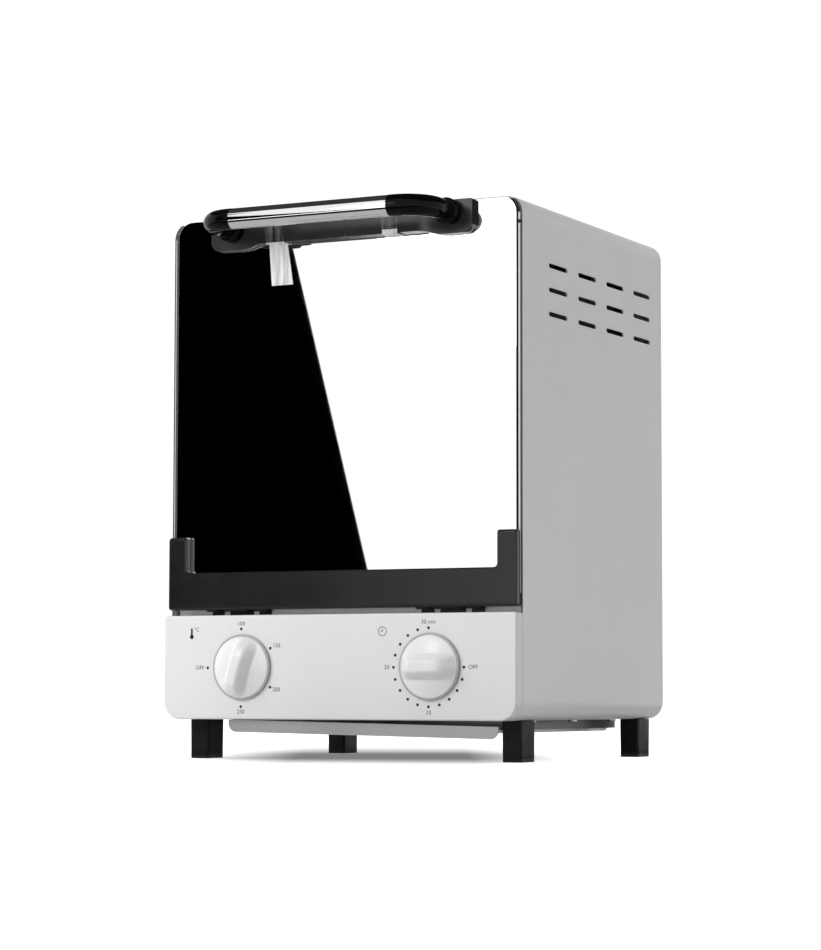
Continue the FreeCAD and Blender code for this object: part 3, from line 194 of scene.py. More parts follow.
class Effects:
    """Shader node groups that several finishes share, over stretched object coordinates."""

    noise_middle: Span = (0.3, 0.7)

    def __init__(self) -> None:
        """Build each group once."""
        self.tone = self._tone()
        self.grain = self._grain()
        self.spread = self._spread()
        self.cells = self._cells()

    @staticmethod
    def _new(name: str, output: tuple[str, str], *extra: tuple[str, str]) -> Tree:
        """Start a group with a scale and a stretch along each axis.

        Args:
            name: the group's name.
            output: name and socket type of its output.
            extra: name and socket type of each further input.

        Returns:
            The group with its input node.
        """
        common = [(label, FLOAT) for label in ("Scale", "Stretch X", "Stretch Y", "Stretch Z")]
        group = new_group(name, "ShaderNodeTree", [*common, *extra], output)
        add_node(group, "NodeGroupInput", name="In")
        return group

    @staticmethod
    def _closed(group: Tree, result: Socket) -> Tree:
        """The group with its result linked to its output."""
        add_node(group, "NodeGroupOutput", {0: result})
        return group

    @staticmethod
    def _texture(group: Tree, kind: str, output: str, **settings: float) -> Socket:
        """Texture over the stretched object coordinates, at the group's own scale.

        Args:
            group: the group that it goes into.
            kind: the texture node's type.
            output: which of its results is wanted.
            settings: constants for its further inputs.

        Returns:
            The result.
        """
        given = group.nodes["In"].outputs
        stretches = {axis: given["Stretch " + axis] for axis in "XYZ"}
        stretch = add_node(group, "ShaderNodeCombineXYZ", stretches).outputs[0]
        coords = add_node(group, "ShaderNodeTexCoord").outputs["Object"]
        place = add_node(group, "ShaderNodeVectorMath", {0: coords, 1: stretch}, operation="MULTIPLY")
        inputs = {"Vector": place.outputs[0], "Scale": given["Scale"], **settings}
        return add_node(group, kind, inputs).outputs[output]

    def _noise(self, group: Tree, detail: float) -> Socket:
        """Noise with as much fine detail as asked for."""
        return self._texture(group, "ShaderNodeTexNoise", "Fac", Detail=detail)

    def _tone(self) -> Tree:
        """Slow drift between two colours.

        Returns:
            The group.
        """
        group = self._new("tone drift", ("Colour", COLOUR), ("Dark", COLOUR), ("Light", COLOUR))
        given = group.nodes["In"].outputs
        share = ranged(group, self._noise(group, detail=4.0), self.noise_middle, (0.0, 1.0))
        return self._closed(group, mixed(group, share, given["Dark"], given["Light"]))

    def _grain(self) -> Tree:
        """Fine relief, stretched along any axis."""
        group = self._new("grain", ("Height", FLOAT))
        return self._closed(group, self._noise(group, detail=3.0))

    def _spread(self) -> Tree:
        """A value that wanders between two ends, as roughness does on handled surfaces.

        Returns:
            The group.
        """
        group = self._new("spread", ("Value", FLOAT), ("Low", FLOAT), ("High", FLOAT))
        given = group.nodes["In"].outputs
        ends = (given["Low"], given["High"])
        value = ranged(group, self._noise(group, detail=5.0), self.noise_middle, ends)
        return self._closed(group, value)

    def _cells(self) -> Tree:
        """Crystal cells of a plated sheet, as a value for each cell.

        Returns:
            The group.
        """
        group = self._new("cells", ("Value", FLOAT))
        cells = self._texture(group, "ShaderNodeTexVoronoi", "Color")
        value = add_node(group, "ShaderNodeSeparateColor", {0: cells}).outputs["Red"]
        return self._closed(group, value)


class Shader:
    """A material in the making: a Principled surface and the shared effects that feed it."""

    def __init__(self, name: str, effects: Effects | None = None) -> None:
        """Start an empty material.

        Args:
            name: the material's name.
            effects: the shared node groups, where it uses any.
        """
        self.material = bpy.data.materials.new(name)
        self.material.use_nodes = True
        self.tree = self.material.node_tree
        self.surface = self.tree.nodes["Principled BSDF"]
        self.effects = effects

    def set(self, **values: float | Colour) -> None:
        """Set constants on the surface's own sockets; underscores in names stand for spaces."""
        for name, value in values.items():
            self.surface.inputs[name.replace("_", " ")].default_value = plain(value)

    def link(self, output: Socket, target: str) -> None:
        """Feed one of the surface's sockets."""
        self.tree.links.new(output, self.surface.inputs[target])

    def _group(self, tree: Tree, **values: float | Colour) -> Socket:
        """Result of a shared group; underscores in its inputs' names stand for spaces."""
        inputs = {name.replace("_", " "): plain(value) for name, value in values.items()}
        return add_node(self.tree, "ShaderNodeGroup", inputs, node_tree=tree).outputs[0]

    def tone(self, scale: float, dark: Colour, light: Colour, **stretch: float) -> Socket:
        """A colour that drifts slowly between two."""
        return self._group(self.effects.tone, Scale=scale, Dark=dark, Light=light, **stretch)

    def wander(self, scale: float, span: Span, **stretch: float) -> Socket:
        """A value that wanders over a span."""
        return self._group(self.effects.spread, Scale=scale, Low=span[0], High=span[1], **stretch)

    def cells(self, scale: float) -> Socket:
        """A value for each crystal cell."""
        return self._group(self.effects.cells, Scale=scale)

    def relief(self, scale: float, depth: float, strength: float = 1.0, **stretch: float) -> None:
        """Give the surface a fine relief.

        Args:
            scale: how fine it is.
            depth: how deep it is, in metres.
            strength: how much of it shows.
            stretch: how far its pattern is pressed together along an axis.
        """
        height = self._group(self.effects.grain, Scale=scale, **stretch)
        inputs = {"Distance": depth, "Strength": strength, "Height": height}
        self.link(add_node(self.tree, "ShaderNodeBump", inputs).outputs["Normal"], "Normal")

    def past(self, axis: str, level: float, above: bool = False) -> Socket:
        """Mask for the part of the surface past a level.

        Args:
            axis: the object's coordinate that counts.
            level: the level, in metres.
            above: whether the part lies over the level, and not under it.

        Returns:
            One in that part, else zero.
        """
        coords = add_node(self.tree, "ShaderNodeTexCoord").outputs["Object"]
        place = add_node(self.tree, "ShaderNodeSeparateXYZ", {0: coords}).outputs[axis]
        return math_node(self.tree, "GREATER_THAN" if above else "LESS_THAN", place, level)


class Recipe:
    """A finish that can be built: each kind says how it paints a surface."""

    name: str

    def paint(self, shader: Shader) -> None:
        """Feed the surface of a new material.

        Args:
            shader: the new material.
        """
        raise NotImplementedError

    def build(self, effects: Effects) -> Material:
        """Make the material.

        Args:
            effects: the shared node groups.

        Returns:
            The material.
        """
        shader = Shader(self.name, effects)
        self.paint(shader)
        return shader.material


@dataclass(frozen=True)
class Band:
    """Part of a surface past a level, which takes a plain colour, here always painted shade, and may be
    dull.
    """

    axis: str
    level: float
    colour: Colour
    above: bool = False
    dull: bool = False


@dataclass(frozen=True)
class Surface(Recipe):
    """Drifting colour, wandering gloss and fine relief, with painted shade from a mesh layer and in
    plain bands if asked for.
    """

    name: str
    light: Colour
    dark: Colour
    roughness: Span
    tone_scale: float
    gloss_scale: float
    grain_scale: float
    grain_depth: float
    stretch: tuple[float, float, float] = (1.0, 1.0, 1.0)
    cell_scale: float = 0.0
    metallic: float = 0.0
    coat: float = 0.0
    coat_roughness: float = 0.05
    specular: float = 0.5
    shade: Colour | None = None
    bands: tuple[Band, ...] = ()

    def paint(self, shader: Shader) -> None:
        """Feed the surface of a new material."""
        shader.set(Metallic=self.metallic, Coat_Weight=self.coat, Coat_Roughness=self.coat_roughness,
                   Specular_IOR_Level=self.specular)
        lines = dict(zip(("Stretch_X", "Stretch_Y", "Stretch_Z"), self.stretch))
        colour = shader.tone(self.tone_scale, self.dark, self.light)
        if self.cell_scale:
            rough = ranged(shader.tree, shader.cells(self.cell_scale), (0.0, 1.0), self.roughness)
        else:
            rough = shader.wander(self.gloss_scale, self.roughness, **lines)
        # Painted shade: where the mesh's layer is set, the colour turns to the shade colour.
        if self.shade:
            shaded = add_node(shader.tree, "ShaderNodeAttribute", attribute_name=PAINTED_SHADE_LAYER).outputs["Fac"]
            colour = mixed(shader.tree, shaded, colour, self.shade)
        # Each band paints a plain colour, here always painted shade.
        for band in self.bands:
            mask = shader.past(band.axis, band.level, band.above)
            colour = mixed(shader.tree, mask, colour, band.colour)
            if band.dull:
                rough = math_node(shader.tree, "MAXIMUM", rough, mask)
        shader.link(colour, "Base Color")
        shader.link(rough, "Roughness")
        shader.relief(self.grain_scale, self.grain_depth, **lines)


@dataclass(frozen=True)
class Enamel(Surface):
    """Sprayed enamel on sheet metal, with a slight orange peel."""

    roughness: Span = (0.3, 0.4)
    tone_scale: float = 7.0
    gloss_scale: float = 25.0
    grain_scale: float = 700.0
    grain_depth: float = 0.000012


@dataclass(frozen=True)
class SheetMetal(Surface):
    """Bare or plated sheet, with crystal cells or drawn lines if asked for."""

    tone_scale: float = 14.0
    gloss_scale: float = 60.0
    grain_scale: float = 500.0
    grain_depth: float = 0.00001
    metallic: float = 1.0


@dataclass(frozen=True)
class Moulded(Surface):
    """Moulded plastic, rubber or ceramic with a fine grain."""

    tone_scale: float = 30.0
    gloss_scale: float = 90.0
    grain_scale: float = 1200.0
    grain_depth: float = 0.000015


@dataclass(frozen=True)
class MirrorGlass(Recipe):
    """Tempered glass with a mirror coat on its face and a dark, slightly green back and edge."""

    name: str
    face_y: float
    top_line: float
    face: Colour = grey(254)
    edge: Colour = tint(88, 104, 96)
    edge_light: Colour = tint(104, 120, 112)
    edge_scale: float = 40.0
    roughness: float = 0.012
    ripple: float = 0.000002
    ripple_scale: float = 6.0

    def paint(self, shader: Shader) -> None:
        """Feed the surface of a new material."""
        shader.set(Metallic=1.0, Roughness=self.roughness)
        bare = shader.tone(self.edge_scale, self.edge, self.edge_light)
        coated = math_node(shader.tree, "MINIMUM", shader.past("Y", self.face_y),
                           shader.past("Z", self.top_line))
        shader.link(mixed(shader.tree, coated, bare, self.face), "Base Color")
        shader.relief(self.ripple_scale, self.ripple)


@dataclass(frozen=True)
class ClearTape(Recipe):
    """Clear tape: streaky over the dark plate, milky below plate_low, thin below milky_low."""

    name: str
    plate_low: float
    milky_low: float | None = None
    over_plate: Span = (0.0, 0.2)
    on_glass: Span = (0.88, 0.98)
    thin: float = 0.1
    streak_scale: float = 30.0
    streak_stretch: Pair = (9.0, 0.8)
    crease_scale: float = 60.0
    crease_stretch: Pair = (9.0, 0.7)
    creases: tuple[Colour, Colour] = (grey(196), grey(255))
    roughness: Span = (0.08, 0.3)
    wrinkle_scale: float = 120.0
    wrinkle_stretch: float = 3.0
    wrinkle_depth: float = 0.0002
    wrinkle_strength: float = 0.6

    def paint(self, shader: Shader) -> None:
        """Feed the surface of a new material."""
        across, along = self.crease_stretch
        creases = shader.tone(self.crease_scale, *self.creases, Stretch_X=across, Stretch_Z=along)
        shader.link(creases, "Base Color")
        across, along = self.streak_stretch
        streaks, milky = (shader.wander(self.streak_scale, span, Stretch_X=across, Stretch_Z=along)
                          for span in (self.over_plate, self.on_glass))
        low = shader.past("Z", self.plate_low)
        alpha = ranged(shader.tree, low, (0.0, 1.0), (streaks, milky))
        if self.milky_low is not None:
            lowest = shader.past("Z", self.milky_low)
            alpha = ranged(shader.tree, lowest, (0.0, 1.0), (alpha, self.thin))
        shader.link(alpha, "Alpha")
        shader.link(shader.wander(self.wrinkle_scale, self.roughness), "Roughness")
        shader.relief(self.wrinkle_scale, self.wrinkle_depth, self.wrinkle_strength,
                      Stretch_X=self.wrinkle_stretch)


@dataclass(frozen=True)
class Ink(Recipe):
    """Screen-printed ink with a slightly broken edge tone."""

    name: str
    light: float = 44
    dark: float = 24
    tone_scale: float = 400.0
    gloss_scale: float = 300.0
    roughness: Span = (0.4, 0.6)

    def paint(self, shader: Shader) -> None:
        """Feed the surface of a new material."""
        shader.link(shader.tone(self.tone_scale, grey(self.dark), grey(self.light)), "Base Color")
        shader.link(shader.wander(self.gloss_scale, self.roughness), "Roughness")


class Finishes:
    """Every finish of the object, by the record's material slot."""

    def __init__(self, effects: Effects) -> None:
        """Build the finishes.

        Args:
            effects: the shared node groups.
        """
        glass_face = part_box("door_glass")[0][1] + 0.4 * MM
        glass_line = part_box("door_glass")[1][2] - 0.8 * MM
        plate_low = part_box("handle_plate")[0][2] + 3.0 * MM
        plate_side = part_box("handle_plate")[1][0] - 0.15 * MM
        shell_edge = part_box("outer_shell")[0][1] + 0.1 * MM
        surround_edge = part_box("front_frame")[0][0] + 0.6 * MM
        liner_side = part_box("chamber_liner")[1][0] - 0.5 * MM
        steel, dull_steel = tint(196, 197, 195), tint(150, 151, 150)
        # Painted shade: dark colours for the shell's front edge, the frame's left edge, the liner's
        # outer sides behind the vents and the plate's right end.
        edge_painted_shade, vent_painted_shade, plate_end_painted_shade = grey(70), grey(8), grey(3)
        recipes = {
            "white_paint": Enamel("white enamel", grey(236), grey(232)),
            "frame_metal": Enamel("pale frame enamel", grey(226), grey(218), (0.28, 0.42)),
            "liner_steel": SheetMetal("aluminised liner", tint(206, 207, 204), tint(184, 185, 182),
                                      (0.34, 0.46), cell_scale=260.0, metallic=0.3),
            "plated_steel": SheetMetal("zinc plated sheet", tint(190, 193, 194), tint(160, 163, 165),
                                       (0.32, 0.42), cell_scale=90.0),
            "tray_metal": SheetMetal("rolled tray sheet", grey(252), grey(238), (0.22, 0.4),
                                     stretch=(0.06, 1.0, 1.0), grain_scale=700.0, metallic=0.1),
            "stainless": SheetMetal("brushed stainless", tint(205, 205, 203), tint(182, 182, 180),
                                    (0.18, 0.34), stretch=(0.05, 1.0, 1.0), grain_scale=900.0),
            "chrome_wire": SheetMetal("plated wire", tint(214, 215, 216), tint(196, 197, 198),
                                      (0.08, 0.2)),
            "heater_tube": SheetMetal("heater sheath", tint(92, 92, 88), tint(58, 57, 54),
                                      (0.4, 0.62)),
            "screw_steel": SheetMetal("bright screw", steel, dull_steel, (0.2, 0.36)),
            "timer_case": SheetMetal("timer case", steel, dull_steel, (0.24, 0.4), cell_scale=120.0),
            "bell_metal": SheetMetal("bell metal", tint(214, 196, 140), tint(186, 166, 108),
                                     (0.18, 0.32)),
            "chrome": SheetMetal("polished chrome", tint(236, 236, 238), tint(230, 230, 232),
                                 (0.02, 0.05), grain_depth=0.0),
            "ceramic": Moulded("fired ceramic", tint(232, 226, 208), tint(214, 206, 186), (0.6, 0.8),
                               grain_scale=500.0, grain_depth=0.00004),
            "black_rubber": Moulded("black nylon", grey(26), grey(14), (0.42, 0.6), specular=0.3),
            "foot_plastic": Moulded("foot plastic", grey(30), grey(18), (0.4, 0.55),
                                    grain_depth=0.00003, specular=0.15),
            "black_plastic": Moulded("satin black moulding", grey(28), grey(20), (0.2, 0.28),
                                     specular=0.42),
            "hinge_steel": Moulded("black hinge steel", grey(28), grey(14), (0.3, 0.46), specular=0.3),
            "plate_plastic": Moulded("dark grey plate", grey(40), grey(33), (0.2, 0.28), specular=0.35),
            "elbow_plastic": Moulded("glossy black elbow", grey(9), grey(4), (0.1, 0.16),
                                     grain_depth=0.0, specular=0.1),
            # Its shade colour is painted shade for the ring at the knob's edge.
            "knob_plastic": Moulded("white knob", grey(243), grey(239), (0.2, 0.3), grain_depth=0.0,
                                    coat=0.4, shade=grey(176)),
            "mirror_glass": MirrorGlass("mirror coated glass", glass_face, glass_line),
            "clear_tape": ClearTape("clear tape", plate_low),
        }
        self.by_slot = {slot: recipe.build(effects) for slot, recipe in recipes.items()}
        # Painted shade: the tray rails take a darker copy of the plated steel.
        rail = SheetMetal("rail steel darkened with painted shade", tint(104, 106, 107), tint(84, 86, 87), (0.4, 0.5))
        special = {
            # Painted shade: the liner's outer sides are near black, so the vents look dark inside.
            "chamber_liner": replace(
                recipes["liner_steel"], name="aluminised liner with painted shade on its sides",
                bands=(Band("X", liner_side, vent_painted_shade, above=True),
                       Band("X", -liner_side, vent_painted_shade))),
            # Painted shade: the shell's front edge is dark grey.
            "outer_shell": replace(recipes["white_paint"], name="white enamel with painted shade on its front edge",
                                   bands=(Band("Y", shell_edge, edge_painted_shade),)),
            # Painted shade: the frame's left edge is dark grey.
            "front_frame": replace(recipes["frame_metal"], name="pale frame enamel with painted shade on its left edge",
                                   bands=(Band("X", surround_edge, edge_painted_shade),)),
            # Painted shade: the plate's right end is near black, and dull.
            "handle_plate": replace(
                recipes["plate_plastic"], name="dark grey plate with painted shade on its right end", specular=0.42,
                bands=(Band("X", plate_side, plate_end_painted_shade, above=True, dull=True),)),
            "right_tape_strip": replace(recipes["clear_tape"], name="thin clear tape",
                                        plate_low=plate_low + 2.4 * MM, milky_low=plate_low - 1.5 * MM),
            "left_tray_rail": rail,
            "right_tray_rail": rail,
        }
        self.by_node = {node: recipe.build(effects) for node, recipe in special.items()}
        self.ink = Ink("dial print").build(effects)

    def of(self, node: str, slot: str) -> Material:
        """The node's own finish, or else that of its slot."""
        return self.by_node.get(node, self.by_slot[slot])

    def dress(self, nodes: dict[str, Object], slots: dict[str, str]) -> None:
        """Give each CAD node the finish of its slot.

        Args:
            nodes: the CAD nodes by name.
            slots: the material slot of each node.
        """
        for name, node in nodes.items():
            for place in node.material_slots:
                place.material = self.of(name, slots[name])
            log.info("dressed %s with %s", name, slots[name])


def finished(piece: Object, body: Body) -> Object:
    """Put a piece on its body and log it.

    Args:
        piece: the finished object.
        body: the body that it moves with.

    Returns:
        The same object.
    """
    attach(piece, body.value)
    log.info("made %s on %s", piece.name, body.value)
    return piece


def mesh_object(name: str, shape: Mesh | Shape, material: Material) -> Object:
    """Make a linked object with one material.

    Args:
        name: the piece's name.
        shape: its mesh, or an edited shape that is then freed, already in place.
        material: its finish.

    Returns:
        The object, at the origin.
    """
    mesh = shape
    if isinstance(shape, Shape):
        mesh = bpy.data.meshes.new(name)
        shape.to_mesh(mesh)
        shape.free()
    mesh.materials.clear()
    mesh.materials.append(material)
    piece = bpy.data.objects.new(name, mesh)
    bpy.context.collection.objects.link(piece)
    return piece


def stand_in(node: str, shape: Mesh | Shape, material: Material, body: Body) -> None:
    """Let a finished shape take the place of a CAD node.

    Args:
        node: the CAD node, which is hidden.
        shape: the finished shape, in place.
        material: its finish.
        body: the body that it moves with.
    """
    piece = finished(mesh_object(node + "_finished", shape, material), body)
    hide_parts(node)


def evaluated_mesh(source: Object) -> Mesh:
    """Take the final mesh of an object, which is then removed.

    Args:
        source: the object with its modifiers.

    Returns:
        The mesh.
    """
    graph = bpy.context.evaluated_depsgraph_get()
    mesh = bpy.data.meshes.new_from_object(source.evaluated_get(graph))
    bpy.data.objects.remove(source)
    return mesh


def middle_of(node: str) -> Vector:
    """Middle of a CAD node's box."""
    low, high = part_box(node)
    return (Vector(low) + Vector(high)) / 2


class DotRing:
    """Geometry Nodes tree that sets flat dots along an arc round a dial."""

    dot_corners = 16

    def __init__(self) -> None:
        """Build the tree with named inputs for its sizes."""
        numbers = ("Ring Radius", "First Angle", "Step Angle", "Dot Radius", "Ink Depth")
        inputs = [("Count", "NodeSocketInt"), *((label, FLOAT) for label in numbers),
                  ("Finish", "NodeSocketMaterial")]
        self.tree = new_group("dot ring", "GeometryNodeTree", inputs,
                              ("Geometry", "NodeSocketGeometry"))
        self.sockets = {item.name: item.identifier for item in self.tree.interface.items_tree
                        if item.in_out == "INPUT"}
        self._wire()

    def _wire(self) -> None:
        """Connect points, positions, dots and finish."""
        tree = self.tree
        given = add_node(tree, "NodeGroupInput").outputs
        index = add_node(tree, "GeometryNodeInputIndex").outputs[0]
        turned = math_node(tree, "MULTIPLY", index, given["Step Angle"])
        angle = math_node(tree, "ADD", turned, given["First Angle"])
        places = {axis: math_node(tree, "MULTIPLY", math_node(tree, side, angle), given["Ring Radius"])
                  for axis, side in (("X", "COSINE"), ("Z", "SINE"))}
        place = add_node(tree, "ShaderNodeCombineXYZ", places).outputs[0]
        points = add_node(tree, "GeometryNodePoints", {"Count": given["Count"], "Position": place})
        dot = add_node(tree, "GeometryNodeMeshCylinder", {
            "Vertices": self.dot_corners, "Radius": given["Dot Radius"], "Depth": given["Ink Depth"]})
        instances = add_node(tree, "GeometryNodeInstanceOnPoints", {
            "Points": points.outputs[0], "Instance": dot.outputs["Mesh"],
            "Rotation": (pi / 2, 0.0, 0.0)})
        realized = add_node(tree, "GeometryNodeRealizeInstances", {0: instances.outputs[0]})
        finish = add_node(tree, "GeometryNodeSetMaterial", {
            "Geometry": realized.outputs[0], "Material": given["Finish"]})
        add_node(tree, "NodeGroupOutput", {"Geometry": finish.outputs[0]})

    def make(self, values: dict[str, float | int | Material]) -> Mesh:
        """Run the tree once.

        Args:
            values: the inputs by name.

        Returns:
            The dots as a plain mesh round the origin, facing -Y.
        """
        carrier = bpy.data.objects.new("dots", bpy.data.meshes.new("dots"))
        bpy.context.collection.objects.link(carrier)
        modifier = carrier.modifiers.new("ring", "NODES")
        modifier.node_group = self.tree
        for label, value in values.items():
            modifier[self.sockets[label]] = value
        return evaluated_mesh(carrier)


@dataclass
class DialPrint:
    """Dots and plain numbers round one dial."""

    name: str
    centre: Vector
    arcs: tuple[tuple[float, float, int], ...]
    labels: tuple[tuple[str, float, float], ...]
    ring_radius: float = 0.024
    dot_radius: float = 0.00093
    digit_size: float = 0.0036

    def build(self, ring: DotRing, ink: Material) -> Object:
        """Make the print as one piece.

        Args:
            ring: the dot tree.
            ink: the print's finish.

        Returns:
            The piece, on the panel's face.
        """
        merged = bmesh.new()
        for first, step, count in self.arcs:
            dots = ring.make({
                "Count": count, "Ring Radius": self.ring_radius, "First Angle": radians(first),
                "Step Angle": radians(step), "Dot Radius": self.dot_radius, "Ink Depth": INK_DEPTH,
                "Finish": ink})
            dots.transform(Matrix.Translation(self.centre))
            merged.from_mesh(dots)
        for text, x, z in self.labels:
            place = self.centre + Vector((x, 0, z))
            merged.from_mesh(printed_text(text, self.digit_size, place))
        return mesh_object(self.name, merged, ink)


def printed_text(text: str, size: float, place: Vector) -> Mesh:
    """Set flat text that stands upright and faces -Y.

    Args:
        text: what it says.
        size: height of the type.
        place: middle of the text.

    Returns:
        The text as a mesh, in place.
    """
    curve = bpy.data.curves.new("type", "FONT")
    curve.body = text
    curve.size = size
    curve.align_x = curve.align_y = "CENTER"
    curve.extrude = INK_DEPTH / 2
    curve.resolution_u = 3
    writer = bpy.data.objects.new("type", curve)
    bpy.context.collection.objects.link(writer)
    mesh = evaluated_mesh(writer)
    mesh.transform(Matrix.Translation(place) @ Matrix.Rotation(pi / 2, 4, "X"))
    return mesh


@dataclass
class PanelSymbols:
    """A small thermometer above the left dial and a clock above the right one."""

    panel_y: float
    thermometer: Pair = (-0.1017, 0.0786)
    clock: Pair = (0.0329, 0.0785)
    stem_height: float = 0.0052
    stem_width: float = 0.0013
    bulb_radius: float = 0.0014
    clock_radius: float = 0.0029
    long_hand: float = 0.6
    short_hand: float = 0.5
    line_width: float = 0.0004
    unit_size: float = 0.0034
    unit_shift: Pair = (0.0036, 0.0018)
    segments: int = 32
    merge_distance: float = 1e-7

    def _face(self, merged: Shape, outline: list[Pair]) -> None:
        """Add one flat shape with the ink's thickness.

        Args:
            merged: what it is added to.
            outline: its corners in X and Z.
        """
        front = [merged.verts.new((x, self.panel_y - INK_DEPTH / 2, z)) for x, z in outline]
        back = bmesh.ops.extrude_face_region(merged, geom=[merged.faces.new(front)])["geom"]
        moved = [item for item in back if isinstance(item, bmesh.types.BMVert)]
        bmesh.ops.translate(merged, verts=moved, vec=(0, INK_DEPTH, 0))

    def _arc(self, x: float, z: float, radius: float) -> list[Pair]:
        """Points of a circle round a place."""
        turns = [2 * pi * index / self.segments for index in range(self.segments)]
        return [(x + radius * cos(turn), z + radius * sin(turn)) for turn in turns]

    @staticmethod
    def _bar(start: Pair, angle: float, length: float, width: float) -> list[Pair]:
        """Outline of a bar.

        Args:
            start: where it starts, in X and Z.
            angle: which way it points.
            length: how long it is.
            width: how wide it is.

        Returns:
            Its corners.
        """
        along = Vector((cos(angle), sin(angle))) * length
        across = Vector((-sin(angle), cos(angle))) * (width / 2)
        foot = Vector(start)
        return [tuple(corner) for corner in (foot - across, foot + along - across,
                                             foot + along + across, foot + across)]

    def build(self, ink: Material) -> Object:
        """Make both symbols as one piece.

        Args:
            ink: the print's finish.

        Returns:
            The piece, on the panel's face.
        """
        merged = bmesh.new()
        x, z = self.thermometer
        foot = (x, z - self.stem_height / 2)
        self._face(merged, self._arc(*foot, self.bulb_radius))
        self._face(merged, self._bar(foot, pi / 2, self.stem_height, self.stem_width))
        outer = self._arc(*self.clock, self.clock_radius)
        inner = self._arc(*self.clock, self.clock_radius - self.line_width)
        for index in range(self.segments):
            after = (index + 1) % self.segments
            self._face(merged, [outer[index], outer[after], inner[after], inner[index]])
        for angle, share in ((pi / 2, self.long_hand), (pi, self.short_hand)):
            self._face(merged, self._bar(self.clock, angle, self.clock_radius * share, self.line_width))
        bmesh.ops.remove_doubles(merged, verts=merged.verts, dist=self.merge_distance)
        bmesh.ops.recalc_face_normals(merged, faces=merged.faces)
        unit_place = Vector((x + self.unit_shift[0], self.panel_y, z + self.unit_shift[1]))
        merged.from_mesh(printed_text("°C", self.unit_size, unit_place))
        return mesh_object("panel_symbols", merged, ink)


@dataclass
class ControlPrint:
    """Everything printed on the control panel."""

    panel_y: float
    print_shift: Pair = (-0.0009, -0.0003)
    timer_ring: float = 0.0236

    def build(self, ink: Material) -> None:
        """Make the two dial prints and the symbols.

        Args:
            ink: the print's finish.
        """
        ring = DotRing()
        shift_x, shift_z = self.print_shift
        left, right = (Vector((place.x + shift_x, self.panel_y, place.z + shift_z))
                       for place in (middle_of("temperature_knob"), middle_of("timer_knob")))
        temperature = DialPrint(
            "temperature_scale", left, ((90.0, -60.0, 4), (180.0, 0.0, 1)),
            (("OFF", -0.0297, 0.0), ("100", 0.0, 0.0272), ("150", 0.0252, 0.0135),
             ("200", 0.0252, -0.0135), ("250", 0.0, -0.0272)))
        timer = DialPrint(
            "timer_scale", right, ((0.0, -18.0, 16),),
            (("OFF", 0.0297, 0.0), ("10", 0.0, -0.0272), ("20", -0.0282, 0.0), ("30 min", 0.0, 0.0272)),
            self.timer_ring)
        for dial in (temperature, timer):
            finished(dial.build(ring, ink), Body.HOUSING)
        finished(PanelSymbols(self.panel_y).build(ink), Body.HOUSING)


@dataclass
class SoftEdges:
    """A CAD node's shape with its sharp edges rounded, which stands for the node."""

    node: str
    body: Body
    slot: str
    width: float
    segments: int = 3
    sharp_angle: float = 32.0
    flat_area: float = 0.00015
    flat_angle: float = 0.5
    merge_distance: float = 1e-6

    def build(self, nodes: dict[str, Object], material: Material) -> None:
        """Make the rounded copy, which hides the node.

        Args:
            nodes: the CAD nodes by name.
            material: the piece's finish.
        """
        merged = bmesh.new()
        merged.from_mesh(nodes[self.node].data)
        bmesh.ops.remove_doubles(merged, verts=merged.verts, dist=self.merge_distance)
        bmesh.ops.dissolve_limit(merged, angle_limit=radians(self.flat_angle), verts=merged.verts,
                                 edges=merged.edges)
        bmesh.ops.recalc_face_normals(merged, faces=merged.faces)
        source = mesh_object("rounding", merged, material)
        bevel = source.modifiers.new("rounding", "BEVEL")
        bevel.width = self.width
        bevel.segments = self.segments
        bevel.limit_method = "ANGLE"
        bevel.angle_limit = radians(self.sharp_angle)
        rounded = evaluated_mesh(source)
        for polygon in rounded.polygons:
            polygon.use_smooth = polygon.area < self.flat_area
        stand_in(self.node, rounded, material, self.body)


def soft_least(first: float, second: float, blend: float) -> float:
    """The lesser of two values, with a rounded change between them."""
    overlap = max(blend - abs(first - second), 0.0)
    return min(first, second) - overlap * overlap / (4 * blend)


